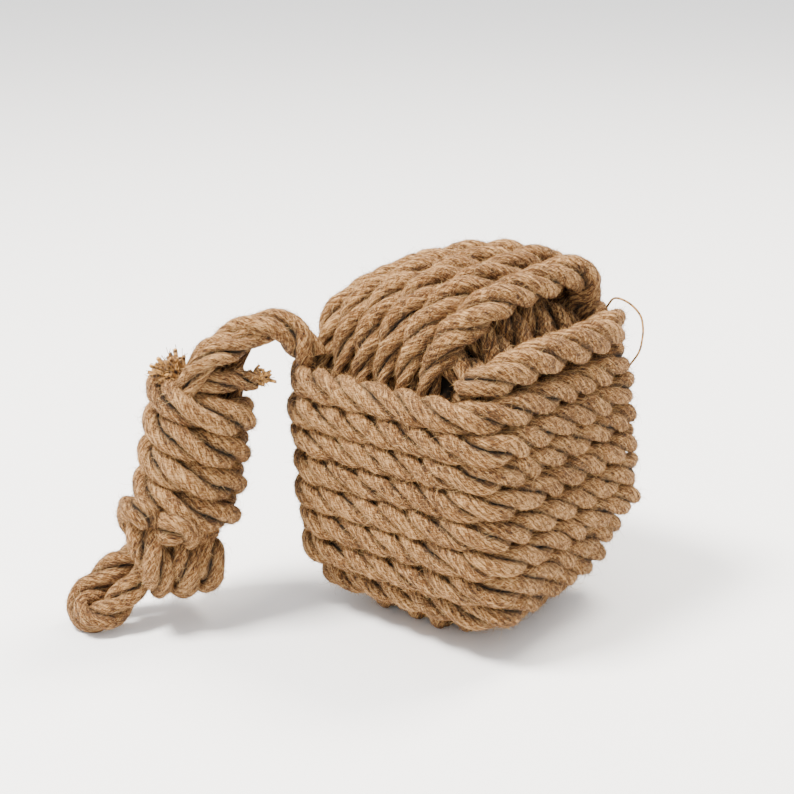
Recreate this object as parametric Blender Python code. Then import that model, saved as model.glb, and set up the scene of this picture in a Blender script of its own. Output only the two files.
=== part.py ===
"""A rope knot doorstop: rope wound over a weighted core into a rough cube, with a rope handle at one corner.

Units are metres and +Z is up. The doorstop stands on z = 0, with its origin on the floor under the cube.
The cube's faces lie along X and Y, and the whole cube leans towards its corner at -X, -Y.
Three windings cover the core, each of one rope: an inner layer in loops parallel to XZ, over it a top band
in loops parallel to YZ, and round the four sides a girdle of level turns.
The handle is a short free neck, a wrapped grip and a knotted loop that reaches the floor.
"""

import math

import bmesh
import bpy
import numpy as np
from mathutils import Matrix, Vector

# How the cube stands
LEAN = math.radians(5.5)
LEAN_AXIS_TURN = math.radians(-63.0)
CENTRE_HEIGHT = 0.075
FLOOR_CUT = 0.0005
CUTTER_DEPTH = 0.04

# Every winding
LOOP_POINTS = 24
TUBE_SIDES = 6
FLAT = math.cos(math.pi / TUBE_SIDES)
LAYER_GAP = 0.0005
TURN_GAP = 0.00045
LOOP_APART = 0.1
LEAST_RADIUS = 0.0020
FINE_STEPS = 5
# Angles round a loop whose sine is above this count as its upper half
UPPER_HALF_FROM = -1e-9
# No place across a face counts as nearer the cube's edge than this share of the way
FACE_SHARE_MOST = 0.97

# Girdle: level turns that go down counter-clockwise from the cube's corner at +X, -Y
CUBE_HALF = 0.0580
GIRDLE_RADIUS = 0.00588
GIRDLE_PITCH = 0.0123
GIRDLE_TOP = 0.0428
GIRDLE_START = math.radians(-50.0)
GIRDLE_TURNS = 8.30
CUBE_SQUARENESS = 9.0
TOP_TURN_SQUARENESS = 5.5
TOP_TURN_RADIUS = 0.0068
# By turn number: share of the top turn's thickness, share of its roundness, the rise and the inset
TOP_TURN_SHARE = ((0.0, 1.0), (0.55, 1.0), (0.80, 0.0))
TOP_TURN_ROUNDS = ((0.0, 1.0), (0.80, 1.0), (1.60, 0.0))
GIRDLE_RISE = (
    (0.0, -0.0005),
    (0.06, 0.0030),
    (0.12, 0.0030),
    (0.20, 0.0032),
    (0.25, 0.0030),
    (0.50, 0.0020),
    (0.75, 0.0008),
    (1.00, 0.0),
)
GIRDLE_INSET = (
    (0.0, 0.0065),
    (0.03, 0.0045),
    (0.06, 0.0025),
    (0.12, 0.0010),
    (0.20, 0.0),
    (6.95, 0.0),
    (7.05, 0.0010),
    (7.15, 0.0040),
    (7.25, 0.0075),
    (7.50, 0.0060),
    (7.75, 0.0054),
    (8.00, 0.0052),
    (8.25, 0.0120),
    (8.40, 0.0130),
)
# By depth below the cube's middle: how far the other windings draw in to stay inside those turns
FRONT_TUCK = ((0.0420, 0.0), (0.0500, 0.0060), (0.0560, 0.0065))
OTHER_TUCK = ((0.0360, 0.0), (0.0425, 0.0080), (0.0500, 0.0085), (0.0560, 0.0130))

# Top band: loops over the crown, down behind the girdle and under the cube
BAND_LOOPS = 6
BAND_RADIUS = 0.0068
BAND_HIDDEN_RADIUS = 0.0046
CROWN_HEIGHT = 0.0740
CROWN_FALL_LEFT = 0.0115
CROWN_FALL_RIGHT = 0.0055
CROWN_PEAK = 0.55
BAND_DEPTH = 0.0745
BAND_DEPTH_FALL = 0.0105
BAND_DEPTH_POWER = 2.5
# How square the loops are over the crown, at the first loop and what the last adds, and below the cube
BAND_SQUARE_FRONT = 2.9
BAND_SQUARE_FRONT_GAIN = 1.2
BAND_SQUARE_BACK = 3.2
BAND_SQUARE_BACK_GAIN = 1.8
BAND_SQUARE_BELOW = 4.8
# A loop's highest point lies this far towards +Y of the middle, at the first loop and what the last adds
PEAK_BACK = 0.0040
PEAK_BACK_GAIN = 0.0120
PEAK_BACK_POWER = 1.5
# The crown swells over the girdle at the back by this share, and is free of the girdle above this height
CROWN_SWELL = 0.11
CROWN_SWELL_FROM = 0.0480
CROWN_SWELL_OVER = 0.0100
CROWN_FREE_FROM = 0.0440
CROWN_FREE_OVER = 0.0100
CROWN_FREE_REACH = 0.0120
BAND_SHOWN_ABOVE = 0.0480
BAND_SHOWN_ABOVE_OVER = 0.0140
BAND_SHOWN_BELOW = 0.0500
BAND_SHOWN_BELOW_OVER = 0.0120
FLOOR_LEVEL_FROM = 0.0120
FLOOR_LEVEL_OVER = 0.0200
# Angle round the loop, then how far the first loop is from the -X face and the last from the +X face
BAND_SPREAD = (
    (0.0, 0.0192, 0.0427),
    (20.0, 0.0152, 0.0402),
    (60.0, 0.0152, 0.0262),
    (90.0, 0.0172, 0.0217),
    (120.0, 0.0202, 0.0192),
    (150.0, 0.0222, 0.0232),
    (180.0, 0.0242, 0.0257),
    (225.0, 0.0242, 0.0252),
    (315.0, 0.0232, 0.0242),
)

# Inner winding: loops under the band, open to view beside the band's last loop
INNER_LOOPS = 6
INNER_RADIUS = 0.0060
INNER_HIDDEN_RADIUS = 0.0051
INNER_HEIGHT = 0.0585
INNER_FALL_FRONT = 0.0135
INNER_FALL_BACK = 0.0115
INNER_DEPTH = 0.0585
INNER_FALL_POWER = 2.2
INNER_FALL_BELOW = 0.5
INNER_SQUARE_FRONT = 5.0
INNER_SQUARE_BACK = 4.0
INNER_SHOWN_ABOVE = 0.0380
INNER_SHOWN_ABOVE_OVER = 0.0080
INNER_SHOWN_BEYOND = 0.0180
INNER_SHOWN_BEYOND_OVER = 0.0120
INNER_END = math.radians(5 * 360 + 250.0)
# Angle round the loop, then how far the first loop is from the -Y face and the last from the +Y face
INNER_SPREAD = (
    (0.0, 0.0262, 0.0282),
    (35.0, 0.0232, 0.0227),
    (90.0, 0.0272, 0.0262),
    (180.0, 0.0302, 0.0312),
    (225.0, 0.0302, 0.0375),
    (300.0, 0.0302, 0.0375),
)

# Ballast core: held between the windings' sides, which draw in a little below its middle
CORE_GAP = 0.0039
CORE_SEAT_GAP = 0.0004
CORE_SQUARENESS = 4
CORE_SEGMENTS = 28
CORE_RINGS = 14

# Free ropes: steps between route points, roundness, and how the round ends are stepped along the radius
ROUTE_STEPS = 24
ROPE_ROUNDNESS = 2
END_STEPS = (0.50, 0.85, 0.99)

# Handle: lengths in plan are counted outwards from this place by the cube's corner
HANDLE_PLACE = (-0.05091, -0.04748)
HANDLE_TURN = math.radians(238.1)
NECK_RADIUS = 0.0068
NECK_SEAT_GAP = 0.0004
NECK_SEAT_TURN = math.radians(225.0)
NECK_SEAT_SEARCH = math.radians(40.0)
NECK_FROM_SEAT = ((0.0027, 0.0050), (0.0080, 0.0086), (0.0154, 0.0093), (0.0240, 0.0069))
NECK_TO_GRIP = ((-0.0115, 0.0110), (-0.0055, 0.0060))
GRIP_OUT = 0.0455
GRIP_ABOVE_WRAP = 0.0091
NECK_POINTS = 14

# Grip: a rope wrapped round the doubled end of the handle
WRAP_RADIUS = 0.0067
WRAP_APART = 0.05
WRAP_COIL = 0.0163
WRAP_PITCH = 0.0143
WRAP_TOP_OUT = 0.0431
WRAP_TOP_HEIGHT = 0.0999
WRAP_TILT = math.radians(10.9)
WRAP_START = math.radians(-20.0)
WRAP_END = math.radians(7 * 180 + 60.0)
SEAT_GAP = 0.00035
LEG_ABOVE_WRAP = 0.0013
LEG_LENGTH = 0.0500
LEG_POINTS = 4

# Knot: turn number, centre (out, above the wrap's top), half height as a vector (out, up) and half width
KNOT_RADIUS = 0.0062
KNOT_APART = 0.04
KNOT_START = math.radians(150.0)
KNOT_TURNS = 3.0
KNOT_STATIONS = (
    (0.08, 0.0705, -0.0689, 0.0045, 0.0170, 0.0165),
    (0.83, 0.0700, -0.0689, 0.0045, 0.0175, 0.0165),
    (1.58, 0.0555, -0.0729, 0.0020, 0.0150, 0.0162),
    (2.58, 0.0425, -0.0734, 0.0015, 0.0100, 0.0130),
    (3.00, 0.0390, -0.0729, 0.0015, 0.0090, 0.0110),
)

# End loop: its route through the knot to the floor and back (out, towards the viewer, above the wrap's top)
END_LOOP_RADIUS = 0.0057
END_LOOP_INNER_RADIUS = 0.0048
END_LOOP_GROWS_FROM = 0.0700
END_LOOP_GROWS_OVER = 0.0120
END_LOOP_ROUTE = (
    (0.0500, 0.0050, -0.0729),
    (0.0580, 0.0051, -0.0727),
    (0.0660, 0.0052, -0.0731),
    (0.0735, 0.0053, -0.0764),
    (0.0815, 0.0064, -0.0846),
    (0.0885, 0.0074, -0.0908),
    (0.0945, 0.0066, -0.0931),
    (0.0983, 0.0027, -0.0928),
    (0.0988, -0.0026, -0.0910),
    (0.0955, -0.0066, -0.0874),
    (0.0890, -0.0076, -0.0824),
    (0.0810, -0.0069, -0.0757),
    (0.0725, -0.0058, -0.0708),
    (0.0650, -0.0052, -0.0711),
    (0.0500, -0.0050, -0.0729),
)
END_LOOP_POINTS = 40

# Frayed cut ends on top of the grip
TUFT_LOBES = 7
TUFT_LOBE_POINTS = 4
TUFT_LENGTH = 0.0115
TUFT_LEFT_LEAN = math.radians(6.0)
TUFT_RIGHT_LEAN = math.radians(-19.0)
TUFT_LOBING = 0.13
# Share of the length, radius, and share of the lobes' depth
TUFT_ROWS = (
    (0.0, 0.00368, 0.0),
    (0.10, 0.0046, 0.0),
    (0.45, 0.0079, 1.0),
    (0.80, 0.0063, 1.0),
    (0.95, 0.0039, 1.0),
)


def smoothstep(value):
    value = np.clip(value, 0.0, 1.0)
    return value * value * (3.0 - 2.0 * value)


def signed_power(value, power):
    return np.sign(value) * np.abs(value) ** power


def at_station(value, stations):
    """Straight between the stations, and the end values beyond them."""
    return np.interp(value, *zip(*stations, strict=True))


LEAN_MATRIX = np.array(
    Matrix.Rotation(LEAN, 3, Vector((math.cos(LEAN_AXIS_TURN), math.sin(LEAN_AXIS_TURN), 0.0)))
)


def lean(points):
    """From the cube's own frame, with its origin in the cube's middle, to the part's frame."""
    return points @ LEAN_MATRIX.T + np.array([0.0, 0.0, CENTRE_HEIGHT])


# Girdle


def girdle_half():
    return CUBE_HALF - FLAT * GIRDLE_RADIUS


def squared(angle, squareness):
    """Points of a rounded square of half size one, squarer as the number grows."""
    power = 2 / squareness
    return np.stack([signed_power(np.cos(angle), power), signed_power(np.sin(angle), power)], -1)


def girdle_path():
    """Centre points in the cube's frame, radii, and the turn number of each point."""
    angle = GIRDLE_START + np.arange(round(GIRDLE_TURNS * LOOP_POINTS) + 1) * 2 * math.pi / LOOP_POINTS
    plan = squared(angle, CUBE_SQUARENESS)
    lengths = np.linalg.norm(plan[1:] - plan[:-1], axis=1)
    turn = np.concatenate([[0.0], np.cumsum(lengths)]) / lengths[:LOOP_POINTS].sum()
    rounded = at_station(turn, TOP_TURN_ROUNDS)
    plan = squared(angle, CUBE_SQUARENESS + (TOP_TURN_SQUARENESS - CUBE_SQUARENESS) * rounded)
    radius = GIRDLE_RADIUS + (TOP_TURN_RADIUS - GIRDLE_RADIUS) * at_station(turn, TOP_TURN_SHARE)
    half = girdle_half() - at_station(turn, GIRDLE_INSET) + FLAT * (radius - GIRDLE_RADIUS)
    height = GIRDLE_TOP - GIRDLE_PITCH * turn + at_station(turn, GIRDLE_RISE)
    return np.column_stack([plan * half[:, None], height]), radius, angle


def inside_girdle(across, thickness, tuck=0.0):
    """How far out a rope's centre may lie inside the girdle, at this place across a face."""
    half = girdle_half() - tuck
    share = np.minimum(np.abs(across) / half, FACE_SHARE_MOST)
    face = (1 - share**CUBE_SQUARENESS) ** (1 / CUBE_SQUARENESS)
    slope = (share / face) ** (CUBE_SQUARENESS - 1)
    return half * face - (FLAT * GIRDLE_RADIUS + thickness + LAYER_GAP) * np.sqrt(1 + slope**2)


# Top band


def band_across(loop, degrees):
    angle, first, last = (np.array(column) for column in zip(*BAND_SPREAD, strict=True))
    left = -CUBE_HALF + np.interp(degrees, angle, first)
    right = CUBE_HALF - np.interp(degrees, angle, last)
    here = left + (right - left) * loop / (BAND_LOOPS - 1)
    left_next = -CUBE_HALF + first[0]
    right_next = CUBE_HALF - last[0]
    onward = left_next + (right_next - left_next) * (loop + 1) / (BAND_LOOPS - 1)
    return here + (onward - here) * smoothstep((degrees - angle[-1]) / (360.0 - angle[-1]))


def band_path():
    """Centre points in the part's frame and the most that the rope's radius may be at each."""
    count = BAND_LOOPS * LOOP_POINTS
    index = np.arange(count + 1)
    loop = np.minimum(index // LOOP_POINTS, BAND_LOOPS - 1)
    degrees = (index - loop * LOOP_POINTS) * 360.0 / LOOP_POINTS
    share = loop / (BAND_LOOPS - 1)
    left_fall = CROWN_FALL_LEFT * np.clip((CROWN_PEAK - share) / CROWN_PEAK, 0, 1) ** 2
    right_fall = CROWN_FALL_RIGHT * np.clip((share - CROWN_PEAK) / (1 - CROWN_PEAK), 0, 1) ** 2
    top = CROWN_HEIGHT - left_fall - right_fall
    depth = BAND_DEPTH - BAND_DEPTH_FALL * np.abs(2 * share - 1) ** BAND_DEPTH_POWER
    x = band_across(loop, degrees)
    c = np.cos(np.radians(degrees))
    s = np.sin(np.radians(degrees))
    above = s > UPPER_HALF_FROM
    peak = np.where(above, PEAK_BACK + PEAK_BACK_GAIN * share**PEAK_BACK_POWER, 0.0)
    front = np.where(above, BAND_SQUARE_FRONT + BAND_SQUARE_FRONT_GAIN * share**2, BAND_SQUARE_BELOW)
    back = np.where(above, BAND_SQUARE_BACK + BAND_SQUARE_BACK_GAIN * share, BAND_SQUARE_BELOW)
    power = np.where(c > 0, front, back)
    side = inside_girdle(x, BAND_HIDDEN_RADIUS)
    reach = np.where(c > 0, side + peak, side - peak)
    y = peak - reach * signed_power(c, 2 / power)
    z = np.where(above, top, depth) * signed_power(s, 2 / power)
    swell = smoothstep((z - CROWN_SWELL_FROM) / CROWN_SWELL_OVER) * smoothstep((y + side) / (2 * side))
    y = y * (1 + CROWN_SWELL * swell)
    tuck = np.where(c > 0, at_station(-z, FRONT_TUCK), at_station(-z, OTHER_TUCK))
    free = CROWN_FREE_REACH * smoothstep((z - CROWN_FREE_FROM) / CROWN_FREE_OVER)
    y = np.sign(y) * np.minimum(np.abs(y), inside_girdle(x, BAND_HIDDEN_RADIUS, tuck) + free)
    shown_above = smoothstep((z - BAND_SHOWN_ABOVE) / BAND_SHOWN_ABOVE_OVER)
    shown = np.maximum(shown_above, smoothstep((-z - BAND_SHOWN_BELOW) / BAND_SHOWN_BELOW_OVER))
    most = BAND_HIDDEN_RADIUS + (BAND_RADIUS - BAND_HIDDEN_RADIUS) * shown
    points = lean(np.column_stack([x, y, z]))
    points[:, 2] = np.maximum(points[:, 2], FLAT * most - FLOOR_CUT)
    return points, most


# Inner winding


def inner_across(loop, degrees):
    angle, first, last = (np.array(column) for column in zip(*INNER_SPREAD, strict=True))
    left = -CUBE_HALF + np.interp(degrees, angle, first)
    right = CUBE_HALF - np.interp(degrees, angle, last)
    here = left + (right - left) * loop / (INNER_LOOPS - 1)
    spacing = (right[0] - left[0]) / (INNER_LOOPS - 1)
    return here + spacing * smoothstep((degrees - angle[-1]) / (360.0 - angle[-1]))


def inner_path():
    count = round(INNER_END / (2 * math.pi) * LOOP_POINTS)
    index = np.arange(count + 1)
    loop = index // LOOP_POINTS
    degrees = (index - loop * LOOP_POINTS) * 360.0 / LOOP_POINTS
    place = 2 * loop / (INNER_LOOPS - 1) - 1
    fall = np.where(place < 0, INNER_FALL_FRONT, INNER_FALL_BACK) * np.abs(place) ** INNER_FALL_POWER
    y = inner_across(loop, degrees)
    c = np.cos(np.radians(degrees))
    s = np.sin(np.radians(degrees))
    power = np.where(c > 0, INNER_SQUARE_FRONT, INNER_SQUARE_BACK)
    x = inside_girdle(y, INNER_HIDDEN_RADIUS) * signed_power(c, 2 / power)
    reach = np.where(s > UPPER_HALF_FROM, INNER_HEIGHT - fall, INNER_DEPTH - INNER_FALL_BELOW * fall)
    z = reach * signed_power(s, 2 / power)
    tuck = at_station(-z, OTHER_TUCK)
    x = np.sign(x) * np.minimum(np.abs(x), inside_girdle(y, INNER_HIDDEN_RADIUS, tuck))
    shown = smoothstep((z - INNER_SHOWN_ABOVE) / INNER_SHOWN_ABOVE_OVER)
    shown = shown * smoothstep((x - INNER_SHOWN_BEYOND) / INNER_SHOWN_BEYOND_OVER)
    most = INNER_HIDDEN_RADIUS + (INNER_RADIUS - INNER_HIDDEN_RADIUS) * shown
    points = lean(np.column_stack([x, y, z]))
    lowest = FLAT * (2 * BAND_RADIUS + INNER_HIDDEN_RADIUS) - FLOOR_CUT + LAYER_GAP
    points[:, 2] = np.maximum(points[:, 2], lowest)
    return points, most


# Handle


OUTWARDS = np.array([math.cos(HANDLE_TURN), math.sin(HANDLE_TURN), 0.0])
SIDEWAYS = np.array([-OUTWARDS[1], OUTWARDS[0], 0.0])
HANDLE_FOOT = np.array([*HANDLE_PLACE, 0.0])


def handle_point(out, side, height):
    return HANDLE_FOOT + out * OUTWARDS + side * SIDEWAYS + np.array([0.0, 0.0, height])


def neck_seat():
    """The middle of the neck's round end, on the girdle's top turn in the handle's own plane."""
    points, radius, angle = girdle_path()
    near = np.abs(angle - NECK_SEAT_TURN) < NECK_SEAT_SEARCH
    ridge = lean(points[near] + radius[near, None] * np.array([0.0, 0.0, 1.0]))
    side = (ridge - HANDLE_FOOT) @ SIDEWAYS
    order = np.argsort(side)
    met = np.array([np.interp(0.0, side[order], ridge[order, axis]) for axis in range(3)])
    return met + np.array([0.0, 0.0, NECK_SEAT_GAP + NECK_RADIUS])


SEAT = neck_seat()


def grip_axis(distance):
    """A point on the wrapped grip's axis, this far down from its top."""
    out = WRAP_TOP_OUT + distance * math.sin(WRAP_TILT)
    return handle_point(out, 0.0, WRAP_TOP_HEIGHT - distance * math.cos(WRAP_TILT))


def wrap_point(angle):
    across = math.cos(WRAP_TILT) * OUTWARDS + np.array([0.0, 0.0, math.sin(WRAP_TILT)])
    middle = grip_axis(WRAP_PITCH * angle / (2 * math.pi))
    return middle + WRAP_COIL * (math.cos(angle) * across + math.sin(angle) * SIDEWAYS)


def wrap_path():
    steps = round((WRAP_END - WRAP_START) / (2 * math.pi) * LOOP_POINTS)
    return np.array([wrap_point(WRAP_START + k * 2 * math.pi / LOOP_POINTS) for k in range(steps + 1)])


def knot_path():
    steps = round(KNOT_TURNS * LOOP_POINTS)
    turn = np.arange(steps + 1) / LOOP_POINTS
    angle = KNOT_START + 2 * math.pi * turn
    columns = [np.array(column) for column in zip(*KNOT_STATIONS, strict=True)]
    out, up, half_out, half_up, width = (np.interp(turn, columns[0], column) for column in columns[1:])
    points = []
    for k in range(steps + 1):
        s = math.sin(angle[k])
        c = math.cos(angle[k])
        height = WRAP_TOP_HEIGHT + up[k] + half_up[k] * s
        points.append(handle_point(out[k] + half_out[k] * s, width[k] * c, height))
    return np.array(points)


def smooth_route(route, count):
    """This many points, evenly spaced along a smooth curve through the route's own points."""
    route = np.array(route)
    padded = np.vstack([2 * route[0] - route[1], route, 2 * route[-1] - route[-2]])
    dense = []
    for k in range(1, len(padded) - 2):
        for t in np.linspace(0.0, 1.0, ROUTE_STEPS, endpoint=False):
            a, b, c, d = padded[k - 1 : k + 3]
            bend = (2 * a - 5 * b + 4 * c - d) * t**2 + (3 * b - a - 3 * c + d) * t**3
            dense.append(0.5 * (2 * b + (c - a) * t + bend))
    dense.append(route[-1])
    dense = np.array(dense)
    along = np.concatenate([[0.0], np.cumsum(np.linalg.norm(dense[1:] - dense[:-1], axis=1))])
    wanted = np.linspace(0.0, along[-1], count)
    return np.column_stack([np.interp(wanted, along, dense[:, axis]) for axis in range(3)])


# Measuring and fitting


def finer(values):
    """The path's values with four more between each two, and its last."""
    shares = np.arange(FINE_STEPS) / FINE_STEPS
    between = [values[k] + (values[k + 1] - values[k]) * t for k in range(len(values) - 1) for t in shares]
    return np.array(between + [values[-1]])


def gaps_of(points, radii, apart):
    """Least clear distance from each fine point to the parts of the path at least this far along."""
    fine = finer(points)
    thick = finer(radii)
    along = np.concatenate([[0.0], np.cumsum(np.linalg.norm(fine[1:] - fine[:-1], axis=1))])
    least = np.full(len(fine), 1.0)
    for k in range(len(fine)):
        far = np.abs(along - along[k]) > apart
        if far.any():
            distance = np.linalg.norm(fine[far] - fine[k], axis=1)
            least[k] = (distance - thick[far] - thick[k]).min()
    return least


def around(space, k):
    """The least of the fine values up to the neighbours of point k."""
    return space[max(0, FINE_STEPS * (k - 1)) : FINE_STEPS * (k + 1) + 1].min()


def fitted_radii(points, most, apart):
    """Radii no larger than these, drawn in where neighbouring turns lie closer than that allows."""
    space = gaps_of(points, np.zeros(len(points)), apart)
    room = (np.array([around(space, k) for k in range(len(points))]) - TURN_GAP) / 2
    return np.minimum(most, room)


def squeezed_radii(points, radii, other, other_radii):
    """Radii drawn in where the rope passes close under another winding."""
    fine = finer(points)
    outer = finer(other)
    thick = finer(other_radii)
    space = np.array([(np.linalg.norm(outer - spot, axis=1) - thick).min() for spot in fine])
    room = np.array([around(space, k) for k in range(len(points))]) - LAYER_GAP
    return np.minimum(radii, np.maximum(room, LEAST_RADIUS))


def report_gap(name, points, radii, apart):
    print(f"{name}: least gap to itself {1000 * gaps_of(points, radii, apart).min():.2f} mm")


# Building objects


def make_material(name, colour, roughness):
    material = bpy.data.materials.new(name)
    material.use_nodes = True
    shader = material.node_tree.nodes["Principled BSDF"]
    shader.inputs["Base Color"].default_value = (*colour, 1.0)
    shader.inputs["Roughness"].default_value = roughness
    shader.inputs["Metallic"].default_value = 0.0
    material.diffuse_color = (*colour, 1.0)
    return material


def add_object(name, data, material, parent=None):
    data.materials.append(material)
    obj = bpy.data.objects.new(name, data)
    bpy.context.scene.collection.objects.link(obj)
    obj.parent = parent
    return obj


def add_pivot(name, place, parent=None):
    pivot = bpy.data.objects.new(name, None)
    bpy.context.scene.collection.objects.link(pivot)
    pivot.empty_display_size = 0.01
    pivot.parent = parent
    pivot.location = Vector(place) - (parent.matrix_world.translation if parent else Vector())
    bpy.context.view_layer.update()
    return pivot


def winding(name, points, radii, stacking, material, parent=None):
    """One unbroken tube with a ring at each point, whose corners point along the stacking direction."""
    origin = np.array(parent.matrix_world.translation) if parent else np.zeros(3)
    bm = bmesh.new()
    rings = []
    for k, point in enumerate(points):
        tangent = points[min(k + 1, len(points) - 1)] - points[max(k - 1, 0)]
        tangent = tangent / np.linalg.norm(tangent)
        stack = stacking[k] - tangent * (stacking[k] @ tangent)
        stack = stack / np.linalg.norm(stack)
        outward = np.cross(tangent, stack)
        ring = []
        for side in range(TUBE_SIDES):
            angle = 2 * math.pi * side / TUBE_SIDES
            spot = point + radii[k] * (math.cos(angle) * stack + math.sin(angle) * outward) - origin
            ring.append(bm.verts.new(spot))
        rings.append(ring)
    for here, there in zip(rings[:-1], rings[1:], strict=True):
        for side in range(TUBE_SIDES):
            after = (side + 1) % TUBE_SIDES
            bm.faces.new((here[side], here[after], there[after], there[side]))
    bm.faces.new(rings[0][::-1])
    bm.faces.new(rings[-1])
    bmesh.ops.recalc_face_normals(bm, faces=bm.faces)
    mesh = bpy.data.meshes.new(name)
    bm.to_mesh(mesh)
    bm.free()
    mesh.shade_smooth()
    return add_object(name, mesh, material, parent)


def free_rope(name, points, radii, material, parent):
    """A rope that hangs or lies free: a bevelled curve with filled ends."""
    origin = np.array(parent.matrix_world.translation)
    curve = bpy.data.curves.new(name, "CURVE")
    curve.dimensions = "3D"
    curve.bevel_depth = 1.0
    curve.bevel_resolution = ROPE_ROUNDNESS
    curve.use_fill_caps = True
    spline = curve.splines.new("POLY")
    spline.points.add(len(points) - 1)
    for spot, point, radius in zip(spline.points, points, radii, strict=True):
        spot.co = (*(point - origin), 1.0)
        spot.radius = radius
    spline.use_smooth = True
    return add_object(name, curve, material, parent)


def ballast(name, half_sizes, material):
    """A rounded block: a sphere drawn out towards the corners of a box."""
    bm = bmesh.new()
    bmesh.ops.create_uvsphere(bm, u_segments=CORE_SEGMENTS, v_segments=CORE_RINGS, radius=1.0)
    for vert in bm.verts:
        size = sum(abs(part) ** CORE_SQUARENESS for part in vert.co) ** (1 / CORE_SQUARENESS)
        vert.co = Vector([half * part / size for half, part in zip(half_sizes, vert.co, strict=True)])
    mesh = bpy.data.meshes.new(name)
    bm.to_mesh(mesh)
    bm.free()
    mesh.shade_smooth()
    obj = add_object(name, mesh, material)
    obj.location = (0.0, 0.0, CENTRE_HEIGHT)
    obj.rotation_euler = Matrix(LEAN_MATRIX.tolist()).to_euler()
    return obj


def frayed_end(name, turn_angle, outward_lean, material, parent):
    """A cut rope end whose yarns spread, on the wrap's top turn: a lobed flare with a domed top."""
    axis = math.sin(outward_lean) * OUTWARDS + np.array([0.0, 0.0, math.cos(outward_lean)])
    base = wrap_point(turn_angle) + (WRAP_RADIUS + SEAT_GAP) * axis
    tip = base + TUFT_LENGTH * axis
    across = np.cross(axis, SIDEWAYS)
    across = across / np.linalg.norm(across)
    other = np.cross(axis, across)
    origin = np.array(parent.matrix_world.translation)
    segments = TUFT_LOBE_POINTS * TUFT_LOBES
    bm = bmesh.new()
    rings = []
    for share, radius, depth in TUFT_ROWS:
        ring = []
        for k in range(segments):
            angle = 2 * math.pi * k / segments
            reach = radius * (1 + TUFT_LOBING * depth * math.cos(TUFT_LOBES * angle))
            turned = math.cos(angle) * across + math.sin(angle) * other
            ring.append(bm.verts.new(base + axis * TUFT_LENGTH * share + turned * reach - origin))
        rings.append(ring)
    for here, there in zip(rings[:-1], rings[1:], strict=True):
        for k in range(segments):
            after = (k + 1) % segments
            bm.faces.new((here[k], here[after], there[after], there[k]))
    bm.faces.new(rings[0][::-1])
    top = bm.verts.new(tip - origin)
    for k in range(segments):
        bm.faces.new((rings[-1][k], rings[-1][(k + 1) % segments], top))
    bmesh.ops.recalc_face_normals(bm, faces=bm.faces)
    mesh = bpy.data.meshes.new(name)
    bm.to_mesh(mesh)
    bm.free()
    mesh.shade_smooth()
    return add_object(name, mesh, material, parent)


def cut_flat_on_floor(obj):
    """Trims the loops that the cube stands on, so that it rests on flats."""
    bpy.ops.mesh.primitive_cube_add(size=1.0)
    cutter = bpy.context.active_object
    cutter.name = "floor_cutter"
    cutter.scale = (4 * CUBE_HALF, 4 * CUBE_HALF, CUTTER_DEPTH)
    cutter.location = (0.0, 0.0, -CUTTER_DEPTH / 2)
    cutter.hide_render = True
    cutter.display_type = "WIRE"
    trim = obj.modifiers.new("floor_flat", "BOOLEAN")
    trim.operation = "DIFFERENCE"
    trim.solver = "EXACT"
    trim.object = cutter


def domed(points, radius, at_start, at_end):
    """Adds points and radii that round off the ends of a rope."""
    points = [np.array(point) for point in points]
    radii = [radius] * len(points)
    rounding = [radius * math.sqrt(1 - step**2) for step in END_STEPS]
    if at_start:
        end = points[0]
        away = (end - points[1]) / np.linalg.norm(end - points[1])
        points = [end + away * radius * step for step in END_STEPS[::-1]] + points
        radii = rounding[::-1] + radii
    if at_end:
        end = points[-1]
        away = (end - points[-2]) / np.linalg.norm(end - points[-2])
        points = points + [end + away * radius * step for step in END_STEPS]
        radii = radii + rounding
    return np.array(points), radii


# Start from an empty scene
for stray in list(bpy.data.objects):
    bpy.data.objects.remove(stray, do_unlink=True)

jute = make_material("jute_rope", (0.42, 0.27, 0.14), 0.92)
jute_inner = make_material("jute_rope_inner", (0.33, 0.21, 0.11), 0.94)
jute_band = make_material("jute_rope_band", (0.44, 0.29, 0.15), 0.92)
jute_handle = make_material("jute_rope_handle", (0.40, 0.25, 0.13), 0.92)
jute_fray = make_material("jute_fray", (0.38, 0.25, 0.13), 0.96)
concrete = make_material("cast_ballast", (0.30, 0.29, 0.27), 0.90)

# Cube
core_half_x = float(inside_girdle(0.0, INNER_HIDDEN_RADIUS)) - FLAT * INNER_HIDDEN_RADIUS - CORE_GAP
core_half_y = float(inside_girdle(0.0, BAND_HIDDEN_RADIUS)) - FLAT * BAND_HIDDEN_RADIUS - CORE_GAP
outer_loop_depth = INNER_DEPTH - INNER_FALL_BELOW * INNER_FALL_FRONT
core_half_height = outer_loop_depth - FLAT * INNER_HIDDEN_RADIUS - CORE_SEAT_GAP
ballast("ballast_core", (core_half_x, core_half_y, core_half_height), concrete)

cube_up = LEAN_MATRIX[:, 2]
girdle_points, girdle_radii, _ = girdle_path()
girdle_points = lean(girdle_points)
winding("girdle_winding", girdle_points, girdle_radii, [cube_up] * len(girdle_points), jute)
report_gap("girdle_winding", girdle_points, girdle_radii, LOOP_APART)

level_x = np.array([1.0, 0.0, 0.0])
band_points, band_most = band_path()
band_radii = fitted_radii(band_points, band_most, LOOP_APART)
band_radii = squeezed_radii(band_points, band_radii, girdle_points, girdle_radii)
on_floor = 1 - smoothstep((band_points[:, 2] - FLOOR_LEVEL_FROM) / FLOOR_LEVEL_OVER)
band_stack = [LEAN_MATRIX[:, 0] * (1 - low) + level_x * low for low in on_floor]
band = winding("top_band_winding", band_points, band_radii, band_stack, jute_band)
cut_flat_on_floor(band)
report_gap("top_band_winding", band_points, band_radii, LOOP_APART)

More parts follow.
